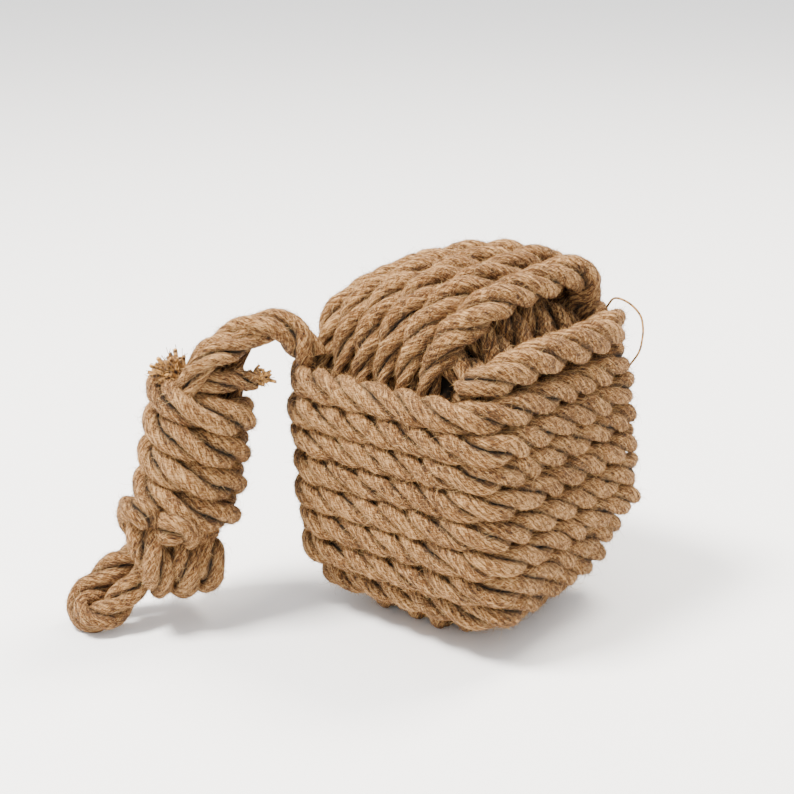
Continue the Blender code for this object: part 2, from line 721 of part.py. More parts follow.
inner_points, inner_most = inner_path()
inner_radii = fitted_radii(inner_points, inner_most, LOOP_APART)
inner_radii = squeezed_radii(inner_points, inner_radii, band_points, band_radii)
inner_radii = squeezed_radii(inner_points, inner_radii, girdle_points, girdle_radii)
winding("inner_winding", inner_points, inner_radii, [LEAN_MATRIX[:, 1]] * len(inner_points), jute_inner)
report_gap("inner_winding", inner_points, inner_radii, LOOP_APART)

# Handle
grip_height = WRAP_TOP_HEIGHT + GRIP_ABOVE_WRAP
grip_place = handle_point(GRIP_OUT, 0.0, grip_height)
neck_pivot = add_pivot("neck_pivot", SEAT)
grip_pivot = add_pivot("grip_pivot", grip_place, neck_pivot)

neck_route = [SEAT]
neck_route += [SEAT + out * OUTWARDS + np.array([0.0, 0.0, up]) for out, up in NECK_FROM_SEAT]
neck_route += [handle_point(GRIP_OUT + out, 0.0, grip_height + up) for out, up in NECK_TO_GRIP]
neck_route += [grip_place]
neck_points, neck_radii = domed(smooth_route(neck_route, NECK_POINTS), NECK_RADIUS, True, True)
free_rope("handle_neck", neck_points, neck_radii, jute_handle, neck_pivot)

wrap_points = wrap_path()
wrap_radii = fitted_radii(wrap_points, np.full(len(wrap_points), WRAP_RADIUS), WRAP_APART)
wrap_axis = grip_axis(0.0) - grip_axis(1.0)
winding("grip_wrap", wrap_points, wrap_radii, [wrap_axis] * len(wrap_points), jute_handle, grip_pivot)
report_gap("grip_wrap", wrap_points, wrap_radii, WRAP_APART)

wrap_bore = WRAP_COIL - FLAT * WRAP_RADIUS
leg_radius = (wrap_bore - SEAT_GAP - SEAT_GAP / 2) / 2
for leg, side in (("grip_leg_near", 1), ("grip_leg_far", -1)):
    shift = side * (leg_radius + SEAT_GAP / 2) * SIDEWAYS
    ends = [grip_axis(-LEG_ABOVE_WRAP) + shift, grip_axis(LEG_LENGTH - LEG_ABOVE_WRAP) + shift]
    leg_points = smooth_route(ends, LEG_POINTS)
    free_rope(leg, leg_points, [leg_radius] * len(leg_points), jute_handle, grip_pivot)

knot_points = knot_path()
knot_radii = fitted_radii(knot_points, np.full(len(knot_points), KNOT_RADIUS), KNOT_APART)
winding("crown_knot", knot_points, knot_radii, [OUTWARDS] * len(knot_points), jute_handle, grip_pivot)
report_gap("crown_knot", knot_points, knot_radii, KNOT_APART)

loop_route = [handle_point(out, side, WRAP_TOP_HEIGHT + up) for out, side, up in END_LOOP_ROUTE]
loop_points = smooth_route(loop_route, END_LOOP_POINTS)
loop_out = (loop_points - HANDLE_FOOT) @ OUTWARDS
loop_grown = smoothstep((loop_out - END_LOOP_GROWS_FROM) / END_LOOP_GROWS_OVER)
loop_radii = END_LOOP_INNER_RADIUS + (END_LOOP_RADIUS - END_LOOP_INNER_RADIUS) * loop_grown
free_rope("end_loop", loop_points, loop_radii, jute_handle, grip_pivot)

frayed_end("frayed_end_left", 0.0, TUFT_LEFT_LEAN, jute_fray, grip_pivot)
frayed_end("frayed_end_right", math.pi, TUFT_RIGHT_LEAN, jute_fray, grip_pivot)

print("neck seat", [round(float(v), 5) for v in SEAT])
print("grip pivot", [round(float(v), 5) for v in grip_place])
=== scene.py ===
import math
import random

import bpy
import numpy as np
from mathutils import Matrix, Vector


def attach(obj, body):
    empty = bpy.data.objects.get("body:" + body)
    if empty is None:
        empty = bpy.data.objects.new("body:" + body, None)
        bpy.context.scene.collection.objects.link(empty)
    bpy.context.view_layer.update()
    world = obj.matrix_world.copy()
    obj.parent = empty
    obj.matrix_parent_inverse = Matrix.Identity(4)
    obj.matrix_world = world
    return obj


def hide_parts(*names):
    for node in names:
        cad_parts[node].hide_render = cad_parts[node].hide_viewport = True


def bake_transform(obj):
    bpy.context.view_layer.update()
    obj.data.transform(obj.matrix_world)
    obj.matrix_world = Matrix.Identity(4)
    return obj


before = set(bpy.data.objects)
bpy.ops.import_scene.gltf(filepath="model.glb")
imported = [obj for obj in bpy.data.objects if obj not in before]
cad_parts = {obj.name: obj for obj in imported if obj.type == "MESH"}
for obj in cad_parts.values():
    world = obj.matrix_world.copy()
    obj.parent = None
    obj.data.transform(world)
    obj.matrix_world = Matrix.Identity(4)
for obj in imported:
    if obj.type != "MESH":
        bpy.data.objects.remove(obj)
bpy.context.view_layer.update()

# Camera: a 77 mm lens 0.73 m from the doorstop and a little above it, facing the corner between its two near
# sides. Its focal length in pixels belongs to the photograph's frame, which is 794 pixels wide.
UP = np.array([0.0, 0.0, 1.0])
VIEW_TURN = math.radians(40.0)
VIEW_TILT = math.radians(19.5)
VIEW_DISTANCE = 0.731
LOOKED_AT_RIGHT = -0.0294
LOOKED_AT_HEIGHT = 0.0926
FOCAL_PIXELS = 1700.0
FRAME_PIXELS = 794.0
SENSOR_WIDTH = 36.0


def new_object(name, data):
    """An object in the scene, with this data."""
    made = bpy.data.objects.new(name, data)
    bpy.context.scene.collection.objects.link(made)
    return made


view_right = np.array([math.cos(VIEW_TURN), math.sin(VIEW_TURN), 0.0])
view_away = np.array([-math.sin(VIEW_TURN), math.cos(VIEW_TURN), 0.0])
view_back = -view_away * math.cos(VIEW_TILT) + math.sin(VIEW_TILT) * UP
looked_at = LOOKED_AT_RIGHT * view_right + LOOKED_AT_HEIGHT * UP
camera_data = bpy.data.cameras.new("camera")
camera_data.sensor_width = SENSOR_WIDTH
camera_data.lens = FOCAL_PIXELS / FRAME_PIXELS * SENSOR_WIDTH
camera_data.clip_start = 0.01
camera = new_object("camera", camera_data)
camera.location = looked_at + view_back * VIEW_DISTANCE
camera.rotation_euler = Vector(-view_back).to_track_quat("-Z", "Y").to_euler()
bpy.context.scene.camera = camera


# Floor and light: a plain pale studio floor in a bright room, with two soft square lights high up. One is
# behind the doorstop on the right, and a stronger one in front of it on the left.
FLOOR_HALF = 4.0
LIGHTS_AIM = 0.07
ROOM_STRENGTH = 1.7


def linear(hex_colour):
    """An sRGB hex value as linear RGBA."""
    parts = [int(hex_colour[k : k + 2], 16) / 255 for k in (1, 3, 5)]
    return (*[v / 12.92 if v <= 0.04045 else ((v + 0.055) / 1.055) ** 2.4 for v in parts], 1.0)


def set_inputs(tree, node, inputs):
    """Sets a node's inputs. Each takes a value, a socket, or a node for its first output."""
    for key, value in inputs.items():
        source = value.outputs[0] if isinstance(value, bpy.types.Node) else value
        if isinstance(source, bpy.types.NodeSocket):
            tree.links.new(source, node.inputs[key])
        else:
            node.inputs[key].default_value = source


def new_finish(name):
    """A new material, its tree and its shader."""
    finish = bpy.data.materials.new(name)
    finish.use_nodes = True
    return finish, finish.node_tree, finish.node_tree.nodes["Principled BSDF"]


floor_mesh = bpy.data.meshes.new("floor")
floor_corners = [(x * FLOOR_HALF, y * FLOOR_HALF, 0.0) for x, y in ((-1, -1), (1, -1), (1, 1), (-1, 1))]
floor_mesh.from_pydata(floor_corners, [], [(0, 1, 2, 3)])
floor = new_object("floor", floor_mesh)
floor_finish, tree, shader = new_finish("pale_painted_floor")
set_inputs(tree, shader, {"Base Color": linear("#F7F6F4"), "Roughness": 0.7})
floor_mesh.materials.append(floor_finish)

world = bpy.data.worlds.new("studio")
world.use_nodes = True
tree = world.node_tree
set_inputs(tree, tree.nodes["Background"], {"Color": linear("#F4F5F7"), "Strength": ROOM_STRENGTH})
bpy.context.scene.world = world


def soft_light(name, away, right, height, size, watts, hex_colour):
    """A square light at this place, seen from the camera, aimed at the middle of the doorstop."""
    data = bpy.data.lights.new(name, "AREA")
    data.shape = "SQUARE"
    data.size = size
    data.energy = watts
    data.color = linear(hex_colour)[:3]
    lamp = new_object(name, data)
    lamp.location = away * view_away + right * view_right + height * UP
    aim = Vector((0.0, 0.0, LIGHTS_AIM)) - lamp.location
    lamp.rotation_euler = aim.to_track_quat("-Z", "Y").to_euler()


soft_light("window_light", away=0.50, right=0.62, height=1.35, size=0.5, watts=40.0, hex_colour="#FFF8EE")
soft_light("left_light", away=-0.22, right=-0.66, height=1.40, size=0.4, watts=78.0, hex_colour="#FFFBF6")


# Girdle: one 12 mm three-strand jute rope, wound tight in a little over eight level turns round the cube. It
# comes out of the dark gap at the front corner, fuller in its first turn, and goes down counter-clockwise as
# seen from above. Each strand is a tube laid in a right-hand helix round the rope's own line.
CUBE_HALF = 0.0580
CUBE_MIDDLE = 0.075
LEAN = math.radians(5.5)
LEAN_TURN = math.radians(-63.0)
LEANED = np.array(Matrix.Rotation(LEAN, 3, Vector((math.cos(LEAN_TURN), math.sin(LEAN_TURN), 0.0))))
GIRDLE_RADIUS = 0.00588
GIRDLE_FULLER = 1.12
GIRDLE_PRESSED_IN = 0.00041
GIRDLE_SQUARENESS = 2.8
GIRDLE_START = math.radians(-50.0)
GIRDLE_TURNS = 8.30
GIRDLE_TOP = 0.0428
GIRDLE_PITCH = 0.0123
TOP_TURN_FULLER = 0.00088
TURN_POINTS = 96
CORNER_SQUARENESS = 9.0
TOP_TURN_ROUNDER = 3.5
# The rope's hidden start behind the first turn: its degrees and points, and how far it goes in and down
START_TAIL = 8.0
START_TAIL_IN = 0.0160
START_TAIL_DOWN = 0.0130
# The first points, by number, are thin, which leaves the gap at the front corner open
THIN_START_STATIONS = ((0, 0.62), (7, 0.68), (18, 1.0))
# How far the turns stand above an even winding, by turn number
RISE_STATIONS = (
    (0.0, -0.0005), (0.06, 0.0030), (0.12, 0.0030), (0.20, 0.0032), (0.25, 0.0030), (0.50, 0.0020),
    (0.75, 0.0008), (1.00, 0.0),
)
# How far they lie inside the cube's sides, by turn number: the first turn's start and the last turns tuck in
INSET_STATIONS = (
    (0.0, 0.0065), (0.03, 0.0045), (0.06, 0.0025), (0.12, 0.0010), (0.20, 0.0), (6.95, 0.0), (7.05, 0.0010),
    (7.15, 0.0040), (7.25, 0.0075), (7.50, 0.0060), (7.75, 0.0054), (8.00, 0.0052), (8.25, 0.0120),
    (8.40, 0.0130),
)
# The solids' ropes are six-sided tubes, whose flats lie at this share of their radius
FLAT = math.cos(math.pi / 6)
# Three strands of half the rope's radius, whose middles lie a little further out than that
STRANDS = 3
STRAND_OFFSET = 0.53
STRAND_THICKNESS = 0.50
STRAND_SIDES = 12
STRAND_BULGE = 0.0020
UNEVEN_LAY = 0.30
LEAST_HEIGHT = 0.0002
# The strand that the finish is drawn for: its radius, its yarns and the length in which they go once round it
DRAWN_RADIUS = 0.0031
DRAWN_YARNS = 8
DRAWN_YARN_LAY = 0.038
MATH = "ShaderNodeMath"
VECTOR_MATH = "ShaderNodeVectorMath"
NOISE = "ShaderNodeTexNoise"
STORE = "GeometryNodeStoreNamedAttribute"
READ = "GeometryNodeInputNamedAttribute"
TIMES = {"operation": "MULTIPLY"}
TIMES_PLUS = {"operation": "MULTIPLY_ADD"}
SCALE = {"operation": "SCALE"}
AS_VECTOR = {"data_type": "FLOAT_VECTOR"}


def add_node(tree, kind, settings=None, inputs=None):
    """A node with its settings and inputs."""
    made = tree.nodes.new(kind)
    for name, value in (settings or {}).items():
        setattr(made, name, value)
    set_inputs(tree, made, inputs or {})
    return made


def smoothstep(value):
    value = np.clip(value, 0.0, 1.0)
    return value * value * (3.0 - 2.0 * value)


def signed_power(value, power):
    return np.sign(value) * np.abs(value) ** power


def lean(points):
    """From the cube's own frame to the part's: the cube leans towards its left corner."""
    return points @ LEANED.T + CUBE_MIDDLE * UP


def wander(count, step, size, seed):
    """A slow random drift of this size, one value for each point, for rope that was laid by hand."""
    source = np.random.default_rng(seed)
    knots = source.normal(0.0, size, count // step + 3)
    place = np.arange(count) / step
    low = place.astype(int)
    share = smoothstep(place - low)
    return knots[low] * (1 - share) + knots[low + 1] * share


def jute_finish(name, light_hex, mid_hex, dark_hex, groove_shade_hex):
    """Laid jute, spun from plant fibre and left raw: matt, hairy and straw to brown, with painted shade in
    the grooves between the strands.

    Its fibres run nearly along the rope, with others over them at a slant, and its yarns show faintly.
    """
    finish, tree, shader = new_finish(name)
    ring = add_node(tree, "ShaderNodeAttribute", {"attribute_name": "ring"}).outputs["Vector"]
    along = add_node(tree, "ShaderNodeAttribute", {"attribute_name": "along"}).outputs["Fac"]
    outward = add_node(tree, "ShaderNodeAttribute", {"attribute_name": "outward"}).outputs["Fac"]
    place = add_node(tree, "ShaderNodeTexCoord").outputs["Object"]
    split = add_node(tree, "ShaderNodeSeparateXYZ", None, {0: ring}).outputs
    angle = add_node(tree, MATH, {"operation": "ARCTAN2"}, {0: split["Y"], 1: split["X"]})

    def fibres(turn_length, scale, stretch, detail):
        """Noise drawn out along lines that go once round the strand in this length."""
        turned = add_node(tree, MATH, TIMES_PLUS, {0: along, 1: 2 * math.pi / turn_length, 2: angle})
        spot = {2: add_node(tree, MATH, TIMES, {0: along, 1: stretch})}
        for axis, wave in enumerate(("COSINE", "SINE")):
            swing = add_node(tree, MATH, {"operation": wave}, {0: turned})
            spot[axis] = add_node(tree, MATH, TIMES, {0: swing, 1: DRAWN_RADIUS})
        vector = add_node(tree, "ShaderNodeCombineXYZ", None, spot)
        inputs = {"Vector": vector, "Scale": scale, "Detail": detail, "Roughness": 0.65}
        return add_node(tree, NOISE, None, inputs)

    patches = add_node(tree, NOISE, None, {"Vector": place, "Scale": 60.0, "Detail": 2.0})
    fine = fibres(turn_length=-0.040, scale=3300.0, stretch=0.12, detail=2.0)
    coarse = fibres(turn_length=-0.036, scale=1300.0, stretch=0.18, detail=1.0)
    slanted = fibres(turn_length=-0.014, scale=2400.0, stretch=0.20, detail=1.0)
    crossing = fibres(turn_length=0.045, scale=2400.0, stretch=0.20, detail=1.0)
    yarns_round = add_node(tree, MATH, TIMES, {0: angle, 1: float(DRAWN_YARNS)})
    wavering = add_node(tree, MATH, TIMES_PLUS, {0: patches, 1: 5.0, 2: yarns_round})
    twist = -2 * math.pi * DRAWN_YARNS / DRAWN_YARN_LAY
    twisted = add_node(tree, MATH, TIMES_PLUS, {0: along, 1: twist, 2: wavering})
    yarn = add_node(tree, MATH, {"operation": "SINE"}, {0: twisted})

    tone = add_node(tree, MATH, TIMES, {0: crossing, 1: 0.35})
    for layer, weight in ((slanted, 0.35), (fine, 0.50), (coarse, 0.35), (yarn, 0.030), (patches, 0.20)):
        tone = add_node(tree, MATH, TIMES_PLUS, {0: layer, 1: weight, 2: tone})
    ramp = add_node(tree, "ShaderNodeValToRGB", None, {0: tone})
    ramp.color_ramp.elements[0].position = 0.75
    ramp.color_ramp.elements[0].color = linear(dark_hex)
    ramp.color_ramp.elements[1].position = 1.00
    ramp.color_ramp.elements[1].color = linear(light_hex)
    ramp.color_ramp.elements.new(0.88).color = linear(mid_hex)
    # Painted shade: deep in the grooves between the strands the colour is mixed towards the near-black groove
    # shade colour
    depth = add_node(tree, "ShaderNodeMapRange", None, {"Value": outward, "From Min": 0.52, "From Max": 0.86})
    mixed = {"Factor": depth, "A": linear(groove_shade_hex), "B": ramp}
    base = add_node(tree, "ShaderNodeMix", {"data_type": "RGBA"}, mixed).outputs["Result"]
    relief = add_node(tree, MATH, TIMES_PLUS, {0: yarn, 1: 0.12, 2: tone})
    bump = add_node(tree, "ShaderNodeBump", None, {"Height": relief, "Strength": 1.0, "Distance": 0.0022})
    sheen = {"Sheen Weight": 0.12, "Sheen Roughness": 0.5, "Sheen Tint": linear("#E9D2AE")}
    matt = {"Roughness": 0.88, "Specular IOR Level": 0.2}
    set_inputs(tree, shader, {"Base Color": base, "Normal": bump, **matt, **sheen})
    return finish


def new_tree(name, inputs):
    """A geometry tree with these named inputs, their identifiers and their sockets, both by name."""
    tree = bpy.data.node_groups.new(name, "GeometryNodeTree")
    sockets = {}
    for label, kind in inputs.items():
        socket = tree.interface.new_socket(label, in_out="INPUT", socket_type="NodeSocket" + kind)
        sockets[label] = socket.identifier
    tree.interface.new_socket("Result", in_out="OUTPUT", socket_type="NodeSocketGeometry")
    return tree, sockets, add_node(tree, "NodeGroupInput").outputs


def end_tree(tree, geometry, material):
    """Ends a geometry tree with this geometry, made real, in this material."""
    real = add_node(tree, "GeometryNodeRealizeInstances", None, {"Geometry": geometry})
    painted = add_node(tree, "GeometryNodeSetMaterial", None, {"Geometry": real, "Material": material})
    add_node(tree, "NodeGroupOutput", None, {0: painted})


# The tree that lays the strands along a rope's line. Its helix starts from the line's own tangent and normal.
lay_inputs = {"Rope line": "Geometry", "Lay length": "Float", "Start angle": "Float", "Step": "Float"}
lay_inputs.update({"Strand offset": "Float", "Strand radius": "Float", "Finish": "Material"})
lay_tree, lay_sockets, given = new_tree("laid_rope", lay_inputs)
stepped = {"Curve": given["Rope line"], "Length": given["Step"]}
lines = add_node(lay_tree, "GeometryNodeResampleCurve", {"mode": "LENGTH"}, stepped)

# Every point keeps where the rope's line is and which way it goes, for the finish and the loose fibres
for name, reader in (("rope_line", "GeometryNodeInputPosition"), ("rope_way", "GeometryNodeInputTangent")):
    value = add_node(lay_tree, reader)
    lines = add_node(lay_tree, STORE, AS_VECTOR, {"Geometry": lines, "Name": name, "Value": value})
copied = {"Geometry": lines, "Amount": STRANDS}
copies = add_node(lay_tree, "GeometryNodeDuplicateElements", {"domain": "SPLINE"}, copied)

# The strand's angle round the line, from the length run so far: the lay is a little uneven, as in real rope
run = add_node(lay_tree, "GeometryNodeSplineParameter").outputs["Length"]
drift = add_node(lay_tree, NOISE, {"noise_dimensions": "1D"}, {"W": run, "Scale": 28.0})
even_turns = add_node(lay_tree, MATH, {"operation": "DIVIDE"}, {0: run, 1: given["Lay length"]})
turns = add_node(lay_tree, MATH, TIMES_PLUS, {0: drift, 1: UNEVEN_LAY, 2: even_turns})
which = {0: copies.outputs["Duplicate Index"], 1: float(STRANDS)}
share = add_node(lay_tree, MATH, {"operation": "DIVIDE"}, which)
total = add_node(lay_tree, MATH, {"operation": "ADD"}, {0: turns, 1: share})
helix = add_node(lay_tree, MATH, TIMES_PLUS, {0: total, 1: 2 * math.pi, 2: given["Start angle"]})

# Each strand's line is moved off the rope's line by the offset, at that angle
radius = add_node(lay_tree, "GeometryNodeInputRadius")
reach = add_node(lay_tree, MATH, TIMES, {0: radius, 1: given["Strand offset"]})
normal = add_node(lay_tree, "GeometryNodeInputNormal")
tangent = add_node(lay_tree, "GeometryNodeInputTangent")
side = add_node(lay_tree, VECTOR_MATH, {"operation": "CROSS_PRODUCT"}, {0: tangent, 1: normal})
arms = {}
for arm, (wave, way) in enumerate((("COSINE", normal), ("SINE", side))):
    swing = add_node(lay_tree, MATH, {"operation": wave}, {0: helix})
    arms[arm] = add_node(lay_tree, VECTOR_MATH, SCALE, {0: way, "Scale": swing})
both = add_node(lay_tree, VECTOR_MATH, {"operation": "ADD"}, arms)
shift = add_node(lay_tree, VECTOR_MATH, SCALE, {0: both, "Scale": reach})
strands = add_node(lay_tree, "GeometryNodeSetPosition", None, {"Geometry": copies, "Offset": shift})
for name, value in (("along", run), ("rope_size", radius)):
    strands = add_node(lay_tree, STORE, None, {"Geometry": strands, "Name": name, "Value": value})

# The strands become tubes, whose points know their place on the ring and how far out of the rope they lie
here = add_node(lay_tree, "GeometryNodeInputPosition")
circle = {"Resolution": STRAND_SIDES, "Radius": given["Strand radius"]}
outline = add_node(lay_tree, "GeometryNodeCurvePrimitiveCircle", None, circle)
ring = add_node(lay_tree, STORE, AS_VECTOR, {"Geometry": outline, "Name": "ring", "Value": here})
tube_inputs = {"Curve": strands, "Profile Curve": ring, "Scale": radius, "Fill Caps": True}
tube = add_node(lay_tree, "GeometryNodeCurveToMesh", None, tube_inputs)
on_line = add_node(lay_tree, READ, AS_VECTOR, {"Name": "rope_line"})
rope_size = add_node(lay_tree, READ, None, {"Name": "rope_size"})
off_line = add_node(lay_tree, VECTOR_MATH, {"operation": "DISTANCE"}, {0: here, 1: on_line})
how_far = {0: off_line.outputs["Value"], 1: rope_size}
outward = add_node(lay_tree, MATH, {"operation": "DIVIDE"}, how_far)
noted = add_node(lay_tree, STORE, None, {"Geometry": tube, "Name": "outward", "Value": outward})

# Their skin swells and sinks a little, because hand-laid jute is never even
bulge = add_node(lay_tree, NOISE, None, {"Vector": here, "Scale": 150.0, "Detail": 2.0})
lift = add_node(lay_tree, MATH, TIMES_PLUS, {0: bulge, 1: STRAND_BULGE, 2: -STRAND_BULGE / 2})
skin = add_node(lay_tree, "GeometryNodeInputNormal")
swell = add_node(lay_tree, VECTOR_MATH, SCALE, {0: skin, "Scale": lift})
uneven = add_node(lay_tree, "GeometryNodeSetPosition", None, {"Geometry": noted, "Offset": swell})
smooth = add_node(lay_tree, "GeometryNodeSetShadeSmooth", None, {"Geometry": uneven})
end_tree(lay_tree, smooth, given["Finish"])


def baked(data, name, tree=None, sockets=None, values=None):
    """What this curve or mesh looks like through this tree: a plain mesh object at the origin."""
    obj = new_object(name + "_source", data)
    if tree:
        modifier = obj.modifiers.new(tree.name, "NODES")
        modifier.node_group = tree
        for label, value in values.items():
            modifier[sockets[label]] = value
    bpy.context.view_layer.update()
    graph = bpy.context.evaluated_depsgraph_get()
    mesh = bpy.data.meshes.new_from_object(obj.evaluated_get(graph))
    mesh.name = name
    bpy.data.objects.remove(obj)
    return new_object(name, mesh)


def laid_rope(name, points, radii, finish, start=0.0, step=0.0011, lay=0.047):
    """A three-strand rope along these points, with one radius for each point or one for all."""
    curve = bpy.data.curves.new(name + "_line", "CURVE")
    curve.dimensions = "3D"
    curve.twist_mode = "MINIMUM"
    spline = curve.splines.new("POLY")
    spline.points.add(len(points) - 1)
    for spot, point, radius in zip(spline.points, points, np.broadcast_to(radii, len(points)), strict=True):
        spot.co = (*point, 1.0)
        spot.radius = radius
    values = {"Lay length": lay, "Start angle": start, "Step": step, "Finish": finish}
    values.update({"Strand offset": STRAND_OFFSET, "Strand radius": STRAND_THICKNESS})
    rope = baked(curve, name, lay_tree, lay_sockets, values)
    for vertex in rope.data.vertices:
        vertex.co.z = max(vertex.co.z, LEAST_HEIGHT)
    return rope


def girdle_half(radius):
    """How far the middle of the girdle's rope lies from the cube's own middle."""
    return CUBE_HALF - FLAT * radius


def squared(angle, squareness):
    """Points of a rounded square of half size one, squarer as the number grows."""
    return np.stack([signed_power(part, 2 / squareness) for part in (np.cos(angle), np.sin(angle))], -1)


def at_station(value, stations):
    """Straight between the stations, and the end values beyond them."""
    return np.interp(value, *zip(*stations, strict=True))


girdle_angle = GIRDLE_START + np.arange(round(GIRDLE_TURNS * TURN_POINTS) + 1) * 2 * math.pi / TURN_POINTS
plan = squared(girdle_angle, CORNER_SQUARENESS)
lengths = np.linalg.norm(plan[1:] - plan[:-1], axis=1)
turn = np.concatenate([[0.0], np.cumsum(lengths)]) / lengths[:TURN_POINTS].sum()
rounded = at_station(turn, ((0.0, 1.0), (0.80, 1.0), (1.60, 0.0)))
plan = squared(girdle_angle, CORNER_SQUARENESS - TOP_TURN_ROUNDER * rounded)
girdle_radii = GIRDLE_RADIUS + TOP_TURN_FULLER * at_station(turn, ((0.0, 1.0), (0.55, 1.0), (0.80, 0.0)))
half = girdle_half(GIRDLE_RADIUS) - at_station(turn, INSET_STATIONS) + FLAT * (girdle_radii - GIRDLE_RADIUS)
half = half + wander(len(turn), step=22, size=0.00035, seed=3) - GIRDLE_PRESSED_IN
height = GIRDLE_TOP - GIRDLE_PITCH * turn + at_station(turn, RISE_STATIONS)
height = height + wander(len(turn), step=26, size=0.00030, seed=4)

tail_angle = GIRDLE_START - np.radians(np.arange(START_TAIL, 0.0, -1.0))
tail_share = (GIRDLE_START - tail_angle)[:, None] / math.radians(START_TAIL)
tail = squared(tail_angle, CORNER_SQUARENESS - TOP_TURN_ROUNDER) * (half[0] - START_TAIL_IN * tail_share)
tail = np.column_stack([tail, height[0] - START_TAIL_DOWN * tail_share[:, 0]])
girdle_points = lean(np.vstack([tail, np.column_stack([plan * half[:, None], height])]))
girdle_radii = np.concatenate([np.full(len(tail), girdle_radii[0]), girdle_radii])
girdle_radii *= at_station(np.arange(len(girdle_radii)), THIN_START_STATIONS)

jute = jute_finish("natural_laid_jute", "#CB9F68", "#7C5129", "#331D0D", "#0C0502")
girdle = laid_rope("girdle_rope", girdle_points, girdle_radii * GIRDLE_FULLER, jute, start=0.4, step=0.0014)


def press_square(rope, upwards, squareness):
    """Presses a rope's round section towards a square one, as in turns wound tight on each other."""
    count = len(rope.data.vertices)
    place, line, way = np.empty(count * 3), np.empty(count * 3), np.empty(count * 3)
    rope.data.vertices.foreach_get("co", place)
    rope.data.attributes["rope_line"].data.foreach_get("vector", line)
    rope.data.attributes["rope_way"].data.foreach_get("vector", way)
    place, line, way = place.reshape(-1, 3), line.reshape(-1, 3), way.reshape(-1, 3)
    sideways = np.cross(way, upwards)
    sideways = sideways / np.linalg.norm(sideways, axis=1)[:, None]
    up_part = (place - line) @ upwards
    side_part = ((place - line) * sideways).sum(axis=1)
    reach = np.hypot(up_part, side_part) + 1e-9
    round_off = np.abs(up_part / reach) ** squareness + np.abs(side_part / reach) ** squareness
    grown = round_off ** (-1 / squareness) - 1
    moved = place + grown[:, None] * (up_part[:, None] * upwards + side_part[:, None] * sideways)
    rope.data.vertices.foreach_set("co", moved.ravel())
    rope.data.update()


press_square(girdle, LEANED @ UP, GIRDLE_SQUARENESS)
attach(girdle, "cube")
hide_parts("girdle_winding")


# Top band: one jute rope in six loops over the crown, down behind the girdle and pressed flat under the cube.
# It is the same rope as the girdle's, laid looser and fuller where it shows.
BAND_LOOPS = 6
LOOP_POINTS = 120
LOOP_APART = 0.1
BAND_HIDDEN_RADIUS = 0.0046
BAND_SHOWN_MORE = 0.0026
BAND_FULLER = 1.07
BAND_RADIUS = 0.0068
FLOOR_PRESS = 0.0005
LAYER_GAP = 0.0005
BAND_CROWN = 0.0740
BAND_CROWN_PLACE = 0.55
BAND_CROWN_FALLS = (0.0115, 0.0055)
BAND_DEPTH = 0.0745
BAND_DEPTH_FALL = 0.0105
BAND_PEAK = (0.004, 0.012)
BAND_LEAN_OUT = 0.11
SHOWN_FROM = 0.044
# Round one loop: degrees, then how far the first and the last loop lie from the cube's two sides
BAND_STATIONS = (
    (0.0, 0.0192, 0.0427), (20.0, 0.0152, 0.0402), (60.0, 0.0152, 0.0262), (90.0, 0.0172, 0.0217),
    (120.0, 0.0202, 0.0192), (150.0, 0.0222, 0.0232), (180.0, 0.0242, 0.0257), (225.0, 0.0242, 0.0252),
    (315.0, 0.0232, 0.0242),
)
# How far the loops tuck in from the girdle's last turns, by depth below the cube's middle
FRONT_TUCK_STATIONS = ((0.0420, 0.0), (0.0500, 0.0060), (0.0560, 0.0065))
TUCK_STATIONS = ((0.0360, 0.0), (0.0425, 0.0080), (0.0500, 0.0085), (0.0560, 0.0130))


def inside_girdle(across_face, thickness, tuck=0.0):
    """How far out a rope this thick can lie inside the girdle, this far across one of the cube's sides."""
    inner = girdle_half(GIRDLE_RADIUS) - tuck
    share_across = np.minimum(np.abs(across_face) / inner, 0.97)
    face = (1 - share_across**9) ** (1 / 9)
    slope = (share_across / face) ** 8
    return inner * face - (FLAT * GIRDLE_RADIUS + thickness + LAYER_GAP) * np.sqrt(1 + slope**2)


def loop_places(count, loops):
    """Each point's loop number, its angle in that loop in degrees, and that angle's cosine and sine."""
    index = np.arange(count + 1)
    loop = np.minimum(index // LOOP_POINTS, loops - 1)
    degrees = (index - loop * LOOP_POINTS) * 360.0 / LOOP_POINTS
    return loop, degrees, np.cos(np.radians(degrees)), np.sin(np.radians(degrees))


def spread(loop, degrees, stations, loops):
    """How far across the cube a loop lies, between the first and last loops' places, moving on at its end."""
    angle, first, last = (np.array(column) for column in zip(*stations, strict=True))
    left = -CUBE_HALF + np.interp(degrees, angle, first)
    right = CUBE_HALF - np.interp(degrees, angle, last)
    here = left + (right - left) * loop / (loops - 1)
    onward = -CUBE_HALF + first[0] + (2 * CUBE_HALF - first[0] - last[0]) * (loop + 1) / (loops - 1)
    return here + (onward - here) * smoothstep((degrees - angle[-1]) / (360.0 - angle[-1]))


def clear_radii(points, most, apart):
    """Radii up to these, drawn in to half the distance to the rope's neighbouring turns."""
    along = np.concatenate([[0.0], np.cumsum(np.linalg.norm(points[1:] - points[:-1], axis=1))])
    radii = np.array(most, dtype=float)
    for k in range(len(points)):
        far = np.abs(along - along[k]) > apart
        radii[k] = min(radii[k], np.linalg.norm(points[far] - points[k], axis=1).min() / 2)
    return radii


